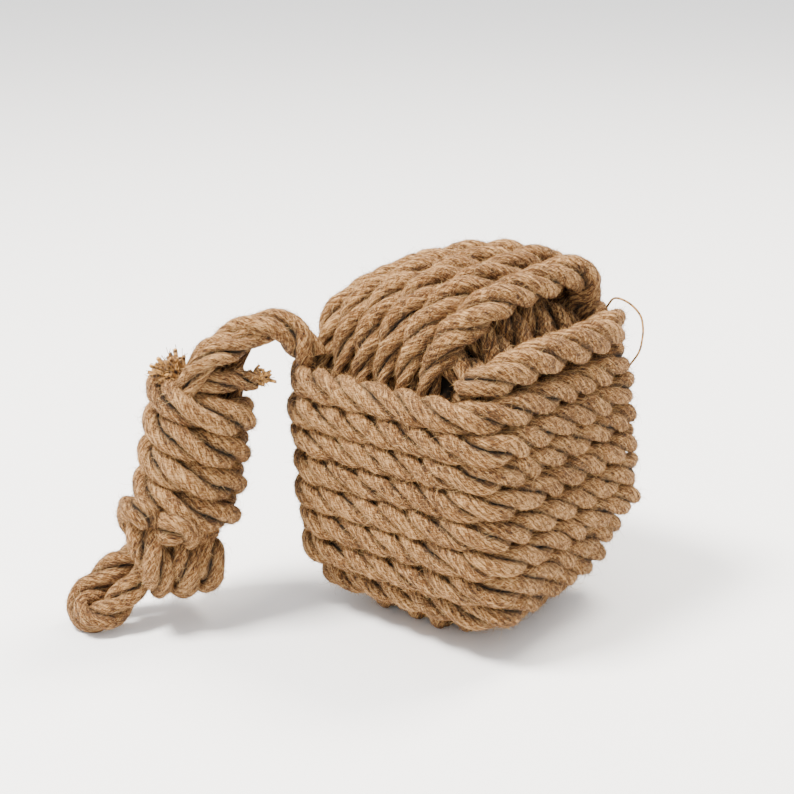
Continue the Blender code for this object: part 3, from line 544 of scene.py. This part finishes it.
loop, degrees, cosine, sine = loop_places(BAND_LOOPS * LOOP_POINTS, BAND_LOOPS)
place = loop / (BAND_LOOPS - 1)
crown = (
    BAND_CROWN
    - BAND_CROWN_FALLS[0] * np.clip((BAND_CROWN_PLACE - place) / BAND_CROWN_PLACE, 0, 1) ** 2
    - BAND_CROWN_FALLS[1] * np.clip((place - BAND_CROWN_PLACE) / (1 - BAND_CROWN_PLACE), 0, 1) ** 2
)
depth = BAND_DEPTH - BAND_DEPTH_FALL * np.abs(2 * place - 1) ** 2.5
band_x = spread(loop, degrees, BAND_STATIONS, BAND_LOOPS)
above = sine > -1e-9
# The crown is highest off its middle, and its loops are rounder over the top than under the cube
peak = np.where(above, BAND_PEAK[0] + BAND_PEAK[1] * place**1.5, 0.0)
front_power = np.where(above, 2.9 + 1.2 * place**2, 4.8)
back_power = np.where(above, 3.2 + 1.8 * place, 4.8)
power = np.where(cosine > 0, front_power, back_power)
reach_y = inside_girdle(band_x, BAND_HIDDEN_RADIUS)
band_y = peak - np.where(cosine > 0, reach_y + peak, reach_y - peak) * signed_power(cosine, 2 / power)
band_z = np.where(above, crown, depth) * signed_power(sine, 2 / power)
# Near the top the loops lean out, and below the girdle's middle they tuck in behind its last turns
overhang = smoothstep((band_z - 0.048) / 0.010) * smoothstep((band_y + reach_y) / (2 * reach_y))
band_y = band_y * (1 + BAND_LEAN_OUT * overhang)
tuck = np.where(cosine > 0, at_station(-band_z, FRONT_TUCK_STATIONS), at_station(-band_z, TUCK_STATIONS))
limit = inside_girdle(band_x, BAND_HIDDEN_RADIUS, tuck) + 0.012 * smoothstep((band_z - SHOWN_FROM) / 0.010)
band_y = np.sign(band_y) * np.minimum(np.abs(band_y), limit)
shown = np.maximum(smoothstep((band_z - SHOWN_FROM) / 0.012), smoothstep((-band_z - 0.046) / 0.012))
band_points = lean(np.column_stack([band_x, band_y, band_z]))
band_points[:, 2] = np.maximum(band_points[:, 2], FLAT * BAND_RADIUS - FLOOR_PRESS)
band_radii = clear_radii(band_points, BAND_HIDDEN_RADIUS + BAND_SHOWN_MORE * shown, LOOP_APART)
band = laid_rope("top_band_rope", band_points, band_radii * BAND_FULLER, jute, start=1.3, step=0.0014)
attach(band, "cube")
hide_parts("top_band_winding")


# Inner winding: one jute rope in six loops across the band's, seen in the step beside the band's last loop.
# It is the same rope, wound first and mostly hidden, and its finish is a little darker as painted shade.
INNER_LOOPS = 6
INNER_LAST_LOOP = 250.0
INNER_HIDDEN_RADIUS = 0.0051
INNER_SHOWN_MORE = 0.0013
INNER_SHOWN_FULLER = 0.12
INNER_LOWEST = 0.0162
INNER_HEIGHT = 0.0585
INNER_FALLS = (0.0135, 0.0115)
# Round one loop: degrees, then how far the first and the last loop lie from the cube's two sides
INNER_STATIONS = (
    (0.0, 0.0262, 0.0282), (35.0, 0.0232, 0.0227), (90.0, 0.0272, 0.0262), (180.0, 0.0302, 0.0312),
    (225.0, 0.0302, 0.0375), (300.0, 0.0302, 0.0375),
)

inner_count = round(((INNER_LOOPS - 1) * 360.0 + INNER_LAST_LOOP) * LOOP_POINTS / 360.0)
loop, degrees, cosine, sine = loop_places(inner_count, INNER_LOOPS)
place = 2 * loop / (INNER_LOOPS - 1) - 1
fall = np.where(place < 0, *INNER_FALLS) * np.abs(place) ** 2.2
inner_y = spread(loop, degrees, INNER_STATIONS, INNER_LOOPS)
power = np.where(cosine > 0, 5.0, 4.0)
inner_x = inside_girdle(inner_y, INNER_HIDDEN_RADIUS) * signed_power(cosine, 2 / power)
height = np.where(sine > -1e-9, INNER_HEIGHT - fall, INNER_HEIGHT - 0.5 * fall)
inner_z = height * signed_power(sine, 2 / power)
limit = inside_girdle(inner_y, INNER_HIDDEN_RADIUS, at_station(-inner_z, TUCK_STATIONS))
inner_x = np.sign(inner_x) * np.minimum(np.abs(inner_x), limit)
inner_points = lean(np.column_stack([inner_x, inner_y, inner_z]))
inner_points[:, 2] = np.maximum(inner_points[:, 2], INNER_LOWEST)
shown = smoothstep((inner_z - 0.036) / 0.008) * smoothstep((inner_x - 0.014) / 0.012)
inner_radii = clear_radii(inner_points, INNER_HIDDEN_RADIUS + INNER_SHOWN_MORE * shown, LOOP_APART)
inner_radii = inner_radii * (1 + INNER_SHOWN_FULLER * shown)

# A darker copy of the rope's finish: painted shade for rope that lies in the shade
jute_painted_shade = jute_finish("natural_laid_jute_painted_shade", "#C59A64", "#704720", "#2A1709", "#0B0502")
inner = laid_rope("inner_rope", inner_points, inner_radii, jute_painted_shade, start=2.0, step=0.0017)
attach(inner, "cube")
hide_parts("inner_winding")


# Ballast: the hidden weight, taken to be cast concrete and rough. It shows only as the dark of a gap, so it
# stays as its solid and gets a grained finish, painted dark as painted shade for that gap.
def grained_finish(name, scale, detail, strength, distance, tones):
    """A matt finish with a fine grain between two tones, each a place on the grain's scale and a colour."""
    finish, tree, shader = new_finish(name)
    place = add_node(tree, "ShaderNodeTexCoord").outputs["Object"]
    grain = add_node(tree, NOISE, None, {"Vector": place, "Scale": scale, "Detail": detail})
    ramp = add_node(tree, "ShaderNodeValToRGB", None, {0: grain})
    for element, (position, hex_colour) in zip(ramp.color_ramp.elements, tones, strict=True):
        element.position = position
        element.color = linear(hex_colour)
    relief = {"Height": grain, "Strength": strength, "Distance": distance}
    bump = add_node(tree, "ShaderNodeBump", None, relief)
    set_inputs(tree, shader, {"Base Color": ramp, "Normal": bump, "Roughness": 0.9})
    return finish


# The dark tones are painted shade for the gap where the ballast shows
concrete_shade_tones = ((0.0, "#231B14"), (1.0, "#3B3027"))
ballast_finish = grained_finish("cast_concrete_painted_shade", 420.0, 6.0, 0.5, 0.0006, concrete_shade_tones)
for slot in bpy.data.objects["ballast_core"].material_slots:
    slot.material = ballast_finish


# Handle neck: the rope's free stretch, from between the girdle's top turn and the band to the grip's top.
# It is the same jute, slacker and so fuller, and it bends where it leaves the cube and enters the grip.
HANDLE_TURN = math.radians(238.1)
OUTWARDS = np.array([math.cos(HANDLE_TURN), math.sin(HANDLE_TURN), 0.0])
SIDEWAYS = np.array([-OUTWARDS[1], OUTWARDS[0], 0.0])
HANDLE_FOOT = np.array([-0.05091, -0.04748, 0.0])
NECK_RADIUS = 0.0074
# Every route of the handle is written as (out from the cube's corner, towards the viewer, height)
NECK_ROUTE = (
    (-0.0040, 0.0, 0.1110), (-0.0003, 0.0, 0.11639), (0.0029, 0.0, 0.12230), (0.0085, 0.0, 0.12590),
    (0.0164, 0.0, 0.12680), (0.0250, 0.0, 0.12450), (0.0340, 0.0, 0.1200), (0.0400, 0.0, 0.1150),
    (0.0455, 0.0, 0.1090), (0.0480, 0.0, 0.1030),
)


def handle_point(out, side_way, height):
    """A place on the handle, counted from the cube's left corner."""
    return HANDLE_FOOT + out * OUTWARDS + side_way * SIDEWAYS + height * UP


def smooth_route(route, count):
    """This many points, evenly spaced along a smooth curve through the route's own points."""
    route = np.array(route)
    padded = np.vstack([2 * route[0] - route[1], route, 2 * route[-1] - route[-2]])
    dense = []
    for k in range(1, len(padded) - 2):
        for t in np.linspace(0.0, 1.0, 24, endpoint=False):
            a, b, c, d = padded[k - 1 : k + 3]
            bend = (2 * a - 5 * b + 4 * c - d) * t**2 + (3 * b - a - 3 * c + d) * t**3
            dense.append(0.5 * (2 * b + (c - a) * t + bend))
    dense = np.array(dense + [route[-1]])
    along = np.concatenate([[0.0], np.cumsum(np.linalg.norm(dense[1:] - dense[:-1], axis=1))])
    wanted = np.linspace(0.0, along[-1], count)
    return np.column_stack([np.interp(wanted, along, dense[:, axis]) for axis in range(3)])


def handle_route(route, count):
    return smooth_route([handle_point(*spot) for spot in route], count)


jute_handle = jute_finish("natural_laid_jute_handle", "#C99D66", "#7A4F28", "#321C0C", "#0B0502")
neck_points = handle_route(NECK_ROUTE, 90)
neck = laid_rope("handle_neck_rope", neck_points, NECK_RADIUS, jute_handle, start=0.9)
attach(neck, "neck")
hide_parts("handle_neck")


# Grip: rope wrapped tightly, in nearly four left-hand turns, round the handle's doubled rope. It leans
# outwards from top to bottom.
WRAP_TILT = math.radians(10.9)
WRAP_TOP_OUT = 0.0431
WRAP_TOP_HEIGHT = 0.0999
WRAP_PITCH = 0.0143
WRAP_COIL = 0.0165
WRAP_RADIUS = 0.00770
WRAP_LAY = 0.068
WRAP_START = math.radians(-20.0)
WRAP_END = math.radians(7 * 180 + 60.0)
WRAP_POINTS = 380


def wrap_point(angle):
    """The rope's line at this angle round the grip's leaning axis."""
    across_grip = math.cos(WRAP_TILT) * OUTWARDS + math.sin(WRAP_TILT) * UP
    down = WRAP_PITCH * angle / (2 * math.pi)
    out = WRAP_TOP_OUT + down * math.sin(WRAP_TILT)
    height = WRAP_TOP_HEIGHT - down * math.cos(WRAP_TILT)
    spoke = math.cos(angle) * across_grip + math.sin(angle) * SIDEWAYS
    return handle_point(out, 0.0, height) + WRAP_COIL * spoke


wrap_points = np.array([wrap_point(angle) for angle in np.linspace(WRAP_START, WRAP_END, WRAP_POINTS)])
wrap = laid_rope("grip_wrap_rope", wrap_points, WRAP_RADIUS, jute_handle, start=0.2, lay=WRAP_LAY)
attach(wrap, "grip")
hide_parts("grip_wrap")


# Hitch: the same rope goes round the neck's foot. One run comes down in front of it into the wrap, another
# behind it, and the rope's end lies across the top of the wrap towards the cube.
HITCH_RADIUS = 0.0052
HITCH_ROUTE = (
    (0.0172, 0.0000, 0.1260), (0.0229, 0.0020, 0.1236), (0.0293, 0.0070, 0.1218), (0.0357, 0.0110, 0.1211),
    (0.0419, 0.0125, 0.1196), (0.0471, 0.0130, 0.1160), (0.0505, 0.0125, 0.1110), (0.0515, 0.0100, 0.1047),
    (0.0511, 0.0070, 0.0992),
)
BACK_RADIUS = 0.0062
BACK_ROUTE = (
    (0.0190, -0.0010, 0.1255), (0.0235, -0.0040, 0.1222), (0.0268, -0.0065, 0.1176),
    (0.0292, -0.0070, 0.1117), (0.0302, -0.0070, 0.1051), (0.0310, -0.0055, 0.0992),
    (0.0318, -0.0030, 0.0940),
)
TAIL_RADIUS = 0.0046
TAIL_LAY = 0.036
TAIL_ROUTE = (
    (0.0500, 0.0070, 0.1074), (0.0466, 0.0110, 0.1075), (0.0411, 0.0130, 0.1089), (0.0343, 0.0125, 0.1089),
    (0.0269, 0.0095, 0.1075), (0.0228, 0.0085, 0.1072),
)


def bend_with_grip(piece):
    """The piece crosses from the neck into the grip: its placement is baked into its mesh, and it rides no
    body.
    """
    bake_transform(piece)


hitch_points = handle_route(HITCH_ROUTE, 80)
hitch = laid_rope("handle_neck_hitch", hitch_points, HITCH_RADIUS, jute_handle, start=0.3)
bend_with_grip(hitch)

back_points = handle_route(BACK_ROUTE, 70)
# This run lies behind the neck, so it takes the darker finish with painted shade
back_rope = laid_rope("handle_neck_back", back_points, BACK_RADIUS, jute_painted_shade, start=2.6)
bend_with_grip(back_rope)

tail_points = handle_route(TAIL_ROUTE, 60)
tail_rope = laid_rope("grip_top_tail", tail_points, TAIL_RADIUS, jute_handle, start=1.7, lay=TAIL_LAY)
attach(tail_rope, "grip")


# Grip legs: the doubled rope inside the wrap, which goes on down through the knot. It is nearly hidden, and
# so drawn with longer steps.
LEG_RADIUS = 0.0049
LEG_SIDE = 0.0051
LEG_ABOVE_WRAP = 0.0013
LEG_BELOW = 0.0487

for leg, sign in (("grip_leg_near", 1), ("grip_leg_far", -1)):
    leg_route = (
        (WRAP_TOP_OUT - LEG_ABOVE_WRAP * math.sin(WRAP_TILT), sign * LEG_SIDE, 0.1012),
        (WRAP_TOP_OUT + LEG_BELOW * math.sin(WRAP_TILT), sign * LEG_SIDE, 0.0521),
        (0.0545, sign * LEG_SIDE, 0.0430),
        (0.0590, sign * LEG_SIDE, 0.0340),
    )
    # The legs lie inside the wrap, so they take the darker finish with painted shade
    leg_rope = laid_rope(leg + "_rope", handle_route(leg_route, 60), LEG_RADIUS, jute_painted_shade, step=0.0016)
    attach(leg_rope, "grip")
    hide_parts(leg)


# Knot: three crossing turns of the handle's rope below the wrap, drawn up by hand. The rope also crosses over
# the tops of its first two turns, in two short bights towards the front.
KNOT_START = math.radians(150.0)
KNOT_TURNS = 3.0
KNOT_POINTS = 300
KNOT_RADIUS = 0.0067
KNOT_FULLER = 1.14
KNOT_APART = 0.04
KNOT_LAY = 0.044
# Turn number, then the turn's middle (out, height), its half height as a vector (out, up) and its half width
KNOT_STATIONS = (
    (0.08, 0.0705, 0.0325, 0.0045, 0.0160, 0.0165),
    (0.83, 0.0700, 0.0325, 0.0045, 0.0165, 0.0165),
    (1.58, 0.0565, 0.0285, 0.0020, 0.0142, 0.0162),
    (2.58, 0.0455, 0.0275, 0.0015, 0.0100, 0.0130),
    (3.00, 0.0425, 0.0275, 0.0015, 0.0090, 0.0110),
)
BIGHT_RADII = (0.0061, 0.0016)
BIGHT_POINTS = 120
BIGHT_LAY = 0.040
BIGHT_ROUTE = (
    (0.0715, -0.0120, 0.0380), (0.0750, -0.0040, 0.0470), (0.0768, 0.0060, 0.0545),
    (0.0745, 0.0150, 0.0565), (0.0705, 0.0120, 0.0520), (0.0672, 0.0050, 0.0450), (0.0644, 0.0110, 0.0458),
    (0.0615, 0.0192, 0.0500), (0.0564, 0.0170, 0.0470), (0.0522, 0.0060, 0.0388), (0.0501, -0.0060, 0.0286),
)

knot_points = []
turns_along, *knot_columns = zip(*KNOT_STATIONS, strict=True)
for knot_turn in np.linspace(0.0, KNOT_TURNS, KNOT_POINTS):
    station = [np.interp(knot_turn, turns_along, column) for column in knot_columns]
    out, height, half_out, half_up, half_width = station
    angle = KNOT_START + 2 * math.pi * knot_turn
    up_share = math.sin(angle)
    knot_points.append(
        handle_point(out + half_out * up_share, half_width * math.cos(angle), height + half_up * up_share)
    )
knot_points = np.array(knot_points)
knot_radii = clear_radii(knot_points, np.full(KNOT_POINTS, KNOT_RADIUS), KNOT_APART) * KNOT_FULLER
knot = laid_rope("crown_knot_rope", knot_points, knot_radii, jute_handle, start=2.2, lay=KNOT_LAY)
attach(knot, "grip")
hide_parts("crown_knot")

bight_points = handle_route(BIGHT_ROUTE, BIGHT_POINTS)
second_bight = smoothstep((np.arange(BIGHT_POINTS) - 56) / 14)
bight_radii = BIGHT_RADII[0] + BIGHT_RADII[1] * second_bight
crossing = laid_rope("crown_knot_crossing", bight_points, bight_radii, jute_handle, start=0.5, lay=BIGHT_LAY)
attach(crossing, "grip")


# End loop: the closed eye of rope below the knot, which lies on the floor. It grows to its full thickness
# where it comes out of the knot.
EYE_RADII = (0.0050, 0.0019)
EYE_GROWS_FROM = 0.070
EYE_GROWS_OVER = 0.012
EYE_LAY = 0.044
EYE_ROUTE = (
    (0.0500, 0.0050, 0.0270), (0.0580, 0.0051, 0.0272), (0.0660, 0.0052, 0.0268), (0.0735, 0.0053, 0.0235),
    (0.0815, 0.0064, 0.0153), (0.0885, 0.0074, 0.0091), (0.0945, 0.0066, 0.0068), (0.0983, 0.0027, 0.0071),
    (0.0988, -0.0026, 0.0089), (0.0955, -0.0066, 0.0125), (0.0890, -0.0076, 0.0175),
    (0.0810, -0.0069, 0.0242), (0.0725, -0.0058, 0.0291), (0.0650, -0.0052, 0.0288),
    (0.0500, -0.0050, 0.0270),
)

eye_points = handle_route(EYE_ROUTE, 160)
eye_out = (eye_points - HANDLE_FOOT) @ OUTWARDS
eye_radii = EYE_RADII[0] + EYE_RADII[1] * smoothstep((eye_out - EYE_GROWS_FROM) / EYE_GROWS_OVER)
end_loop = laid_rope("end_loop_rope", eye_points, eye_radii, jute_handle, start=1.1, lay=EYE_LAY)
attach(end_loop, "grip")
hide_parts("end_loop")


# Frayed ends: two cut ends of the handle's rope at the top of the grip. Each strand of an end opens out into
# a brush of curling yarns, with fine hairs among them.
YARN_STEPS = 11
HAIRS_TO_A_YARN = 3
HAIR_RADIUS = 0.00013
HAIRS_SPREAD = 1.8
# Each yarn is turned by the golden angle from the one before, which fills a round end evenly
GOLDEN_ANGLE = 2.39996
CURL = 0.0026
# Each strand: its way (out, towards the viewer, up), its radius, how far its yarns spread, and its length
LEFT_PLACE = (0.0525, 0.0000, 0.1080)
LEFT_STRANDS = (
    (0.25, 0.05, 0.97, 0.0036, 0.0016, 0.0160),
    (0.95, 0.20, 0.50, 0.0040, 0.0018, 0.0170),
    (0.90, -0.35, 0.10, 0.0036, 0.0014, 0.0150),
    (0.65, 0.40, 0.85, 0.0036, 0.0014, 0.0155),
)
LEFT_YARN = 0.00120
RIGHT_PLACE = (0.0250, 0.0085, 0.1075)
RIGHT_STRANDS = (
    (-0.90, 0.10, 0.42, 0.0024, 0.0012, 0.0105),
    (-0.95, 0.20, -0.05, 0.0024, 0.0012, 0.0115),
    (-0.75, 0.40, 0.20, 0.0022, 0.0012, 0.0080),
)
RIGHT_YARN = 0.00100

# Loose jute yarn, cut and unspun: matt, in brown and straw streaks
yarn_tones = ((0.35, "#362210"), (0.62, "#B0803F"))
fray_finish = grained_finish("loose_jute_yarn", 700.0, 4.0, 0.6, 0.0004, yarn_tones)
fray_finish.node_tree.nodes["Principled BSDF"].inputs["Sheen Weight"].default_value = 0.1


def yarn_curve(name, bevel):
    """An empty curve whose splines become closed yarns of this radius."""
    curve = bpy.data.curves.new(name, "CURVE")
    curve.dimensions = "3D"
    curve.bevel_depth = bevel
    curve.bevel_resolution = 1
    curve.use_fill_caps = True
    curve.materials.append(fray_finish)
    return curve


def finished_yarns(curve, name):
    """The curve's yarns as one smooth mesh."""
    yarns = baked(curve, name)
    yarns.data.shade_smooth()
    return yarns


def frayed_end(name, base, strands, yarn, seed):
    """A cut end, whose strands open out from this place into yarns of this radius."""
    source = random.Random(seed)
    curve = yarn_curve(name, 1.0)
    for out_way, side_share, up_way, reach, spread_by, length in strands:
        axis = out_way * OUTWARDS + side_share * SIDEWAYS + up_way * UP
        axis = axis / np.linalg.norm(axis)
        across_end = np.cross(axis, SIDEWAYS + 0.3 * OUTWARDS)
        across_end = across_end / np.linalg.norm(across_end)
        other = np.cross(axis, across_end)
        yarns = round(1.1 * (reach / yarn) ** 2)
        for k in range(yarns * (1 + HAIRS_TO_A_YARN)):
            is_hair = k >= yarns
            turned = GOLDEN_ANGLE * k
            share_out = math.sqrt((k % yarns + 0.5) / yarns)
            side_way = math.cos(turned) * across_end + math.sin(turned) * other
            twist_way = np.cross(axis, side_way)
            own_length = length * (1.0 - 0.25 * share_out**2) * source.uniform(0.70, 1.10)
            own_spread = spread_by * share_out * source.uniform(0.4, 1.4) * (HAIRS_SPREAD if is_hair else 1.0)
            curl = source.uniform(-CURL, CURL)
            wave = source.uniform(0.0, 2 * math.pi)
            thick = yarn * source.uniform(0.8, 1.1)
            spline = curve.splines.new("POLY")
            spline.points.add(YARN_STEPS)
            for step in range(YARN_STEPS + 1):
                t = step / YARN_STEPS
                turn_round = wave + 5.5 * t
                droop = t - 0.30 * share_out * t**3
                spot = base + reach * share_out * (0.4 + 0.6 * t) * side_way + axis * own_length * droop
                spot = spot + side_way * own_spread * t**1.7 + twist_way * curl * t * math.sin(turn_round)
                spot = spot + axis * 0.0010 * t * math.cos(turn_round)
                spline.points[step].co = (*spot, 1.0)
                spline.points[step].radius = HAIR_RADIUS if is_hair else thick * (1.0 - 0.30 * t**2)
    return finished_yarns(curve, name)


left_end = frayed_end("frayed_yarns_left", handle_point(*LEFT_PLACE), LEFT_STRANDS, LEFT_YARN, 11)
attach(left_end, "grip")
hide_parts("frayed_end_left")
right_end = frayed_end("frayed_yarns_right", handle_point(*RIGHT_PLACE), RIGHT_STRANDS, RIGHT_YARN, 12)
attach(right_end, "grip")
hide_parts("frayed_end_right")


# Stray yarn: one yarn of jute that has come loose from the band's last loop and hangs over the girdle's top
# turns at the right corner.
STRAY_YARN_RADIUS = 0.0005
STRAY_YARN_ROUTE = (
    (0.0398, 0.0465, 0.1300), (0.0435, 0.0469, 0.1345), (0.0492, 0.0491, 0.1329), (0.0541, 0.0506, 0.1282),
    (0.0558, 0.0507, 0.1227), (0.0557, 0.0506, 0.1173), (0.0553, 0.0488, 0.1118), (0.0520, 0.0455, 0.1050),
)

stray_curve = yarn_curve("stray_yarn_line", STRAY_YARN_RADIUS)
stray_points = smooth_route(STRAY_YARN_ROUTE, 60)
stray_spline = stray_curve.splines.new("POLY")
stray_spline.points.add(len(stray_points) - 1)
for spot, point in zip(stray_spline.points, stray_points, strict=True):
    spot.co = (*point, 1.0)
stray_yarn = finished_yarns(stray_curve, "stray_yarn")
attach(stray_yarn, "cube")


# Loose fibres: raw jute is covered in a fuzz of short fibres, and longer ones stand off it. Each is a
# tapered hair, scattered over the strands' outer sides with a fixed seed and leaning along the rope.
FIBRE_SIZES = (0.45, 1.35)
FIBRE_SLANT = 0.9
# Fibres grow only where a strand's skin lies this far out of the rope, faces outwards and is off the floor
OUTER_SHARE = 0.72
FACING_LEAST = 0.002
ABOVE_FLOOR = 0.0015

# Single jute fibres, thin and slightly shiny: from dark brown to pale straw, one tone to each
hair_finish, tree, shader = new_finish("loose_jute_fibre")
tone = add_node(tree, "ShaderNodeAttribute", {"attribute_name": "tone"}).outputs["Fac"]
ramp = add_node(tree, "ShaderNodeValToRGB", None, {0: tone})
ramp.color_ramp.elements[0].color = linear("#3A2311")
ramp.color_ramp.elements[1].color = linear("#D6B27E")
ramp.color_ramp.elements.new(0.5).color = linear("#8E6232")
set_inputs(tree, shader, {"Base Color": ramp, "Roughness": 0.8, "Specular IOR Level": 0.2})


def straight_fibre(tree):
    """A spike one unit long, and how far it leans."""
    sizes = {"Vertices": 3, "Side Segments": 1, "Radius Top": 0.0, "Radius Bottom": 0.030, "Depth": 1.0}
    spike = add_node(tree, "GeometryNodeMeshCone", None, sizes)
    return spike.outputs["Mesh"], (0.85, 1.50)


def curled_fibre(tree):
    """A hair about one unit long that rises and bends over, and how far it leans."""
    bend = {"Resolution": 4, "Start": (0.0, 0.0, -0.05), "Start Handle": (0.05, 0.0, 0.25)}
    bend.update({"End Handle": (0.35, 0.10, 0.55), "End": (0.85, 0.35, 0.50)})
    line = add_node(tree, "GeometryNodeCurvePrimitiveBezierSegment", None, bend)
    share_up = add_node(tree, "GeometryNodeSplineParameter").outputs["Factor"]
    narrowing = {"Value": share_up, "From Max": 1.0, "To Min": 1.0, "To Max": 0.3}
    taper = add_node(tree, "ShaderNodeMapRange", None, narrowing)
    ring = {"Resolution": 3, "Radius": 0.010}
    outline = add_node(tree, "GeometryNodeCurvePrimitiveCircle", None, ring)
    inputs = {"Curve": line, "Profile Curve": outline, "Scale": taper, "Fill Caps": True}
    return add_node(tree, "GeometryNodeCurveToMesh", None, inputs).outputs[0], (-0.30, 0.60)


def fibre_tree(name, shape_maker):
    """The tree that scatters one kind of fibre over a rope, away from what the rope is wound round."""
    inputs = {"Rope": "Geometry", "Density": "Float", "Seed": "Int", "Middle": "Vector", "Length": "Float"}
    tree, sockets, given = new_tree(name, {**inputs, "Floor room": "Float", "Finish": "Material"})

    # Where they grow: the density, or nothing where one of three conditions fails
    place = add_node(tree, "GeometryNodeInputPosition")
    normal = add_node(tree, "GeometryNodeInputNormal")
    from_middle = add_node(tree, VECTOR_MATH, {"operation": "SUBTRACT"}, {0: place, 1: given["Middle"]})
    facing = add_node(tree, VECTOR_MATH, {"operation": "DOT_PRODUCT"}, {0: from_middle, 1: normal})
    outer = add_node(tree, READ, None, {"Name": "outward"})
    level = add_node(tree, "ShaderNodeSeparateXYZ", None, {0: place}).outputs["Z"]
    conditions = ((outer, OUTER_SHARE), (facing.outputs["Value"], FACING_LEAST), (level, given["Floor room"]))
    density = given["Density"]
    for value, least in conditions:
        is_met = add_node(tree, MATH, {"operation": "GREATER_THAN"}, {0: value, 1: least})
        density = add_node(tree, MATH, TIMES, {0: density, 1: is_met})
    growing = {"Mesh": given["Rope"], "Density": density, "Seed": given["Seed"]}
    scatter = add_node(tree, "GeometryNodeDistributePointsOnFaces", None, growing).outputs

    # Random numbers for each, by seed: its slant, how far it leans, its size and its tone
    shape, leans = shape_maker(tree)
    spans = {5: (-FIBRE_SLANT, FIBRE_SLANT), 7: leans, 8: FIBRE_SIZES, 9: (0.0, 1.0)}
    slant, leaning, size, pale = (
        add_node(tree, "FunctionNodeRandomValue", None, {2: least, 3: most, "Seed": seed}).outputs[1]
        for seed, (least, most) in spans.items()
    )

    # How each lies: along the rope or back along it, a little slanted, and leaning off the skin
    way = add_node(tree, READ, AS_VECTOR, {"Name": "rope_way"})
    aligned = {"Rotation": scatter["Rotation"], "Vector": way}
    axes = {"axis": "X", "pivot_axis": "Z"}
    along_rope = add_node(tree, "FunctionNodeAlignRotationToVector", axes, aligned)
    either_way = {4: 0, 5: 1, "Seed": 6}
    back = add_node(tree, "FunctionNodeRandomValue", {"data_type": "INT"}, either_way).outputs[2]
    heading = add_node(tree, MATH, TIMES_PLUS, {0: back, 1: math.pi, 2: slant})
    turn_by = add_node(tree, "ShaderNodeCombineXYZ", None, {1: leaning, 2: heading})
    turn_as = add_node(tree, "FunctionNodeEulerToRotation", None, {0: turn_by})
    turning = {"Rotation": along_rope, "Rotate By": turn_as}
    turned = add_node(tree, "FunctionNodeRotateRotation", {"rotation_space": "LOCAL"}, turning)

    long = add_node(tree, MATH, TIMES, {0: size, 1: given["Length"]})
    placed = {"Points": scatter["Points"], "Instance": shape, "Rotation": turned, "Scale": long}
    fibres = add_node(tree, "GeometryNodeInstanceOnPoints", None, placed)
    tones = {"Geometry": fibres, "Name": "tone", "Value": pale}
    toned = add_node(tree, STORE, {"domain": "INSTANCE"}, tones)
    end_tree(tree, toned, given["Finish"])
    return tree, sockets


# Each kind: its tree, its fibres to a square metre of skin, and their length
fuzz_tree = fibre_tree("fuzz", straight_fibre)
kinds = (
    ("_fuzz", fuzz_tree, 700000.0, 0.0024),
    ("_down", fuzz_tree, 700000.0, 0.0015),
    ("_strays", fibre_tree("stray_fibres", curled_fibre), 60000.0, 0.0050),
)
# Each rope: its body (none where it crosses into the grip), what it is wound round, and its share of the
# fibres
cube_middle = (0.0, 0.0, CUBE_MIDDLE)
wrap_middle = tuple(handle_point(0.0500, 0.0, 0.0750))
knot_middle = tuple(handle_point(0.0560, 0.0, 0.0280))
loop_middle = tuple(handle_point(0.0850, 0.0, 0.0170))
neck_middle = tuple(handle_point(0.0200, 0.0, 0.1100))
hairy = (
    ("girdle", girdle, "cube", cube_middle, 0.90),
    ("band", band, "cube", cube_middle, 1.0),
    ("inner", inner, "cube", cube_middle, 0.5),
    ("neck", neck, "neck", neck_middle, 1.0),
    ("hitch", hitch, None, neck_middle, 1.0),
    ("back", back_rope, None, neck_middle, 1.0),
    ("tail", tail_rope, "grip", wrap_middle, 1.0),
    ("wrap", wrap, "grip", wrap_middle, 1.0),
    ("knot", knot, "grip", knot_middle, 1.0),
    ("crossing", crossing, "grip", knot_middle, 1.0),
    ("loop", end_loop, "grip", loop_middle, 1.0),
)
for number, (name, rope, body, middle, share) in enumerate(hairy):
    for nth, (ending, kind, density, length) in enumerate(kinds, 1):
        values = {"Density": density * share, "Seed": 3 * number + nth, "Middle": middle, "Length": length}
        values.update({"Floor room": FIBRE_SIZES[1] * length + ABOVE_FLOOR, "Finish": hair_finish})
        fibres = baked(rope.data.copy(), name + ending, *kind, values)
        if body:
            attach(fibres, body)
        else:
            bend_with_grip(fibres)
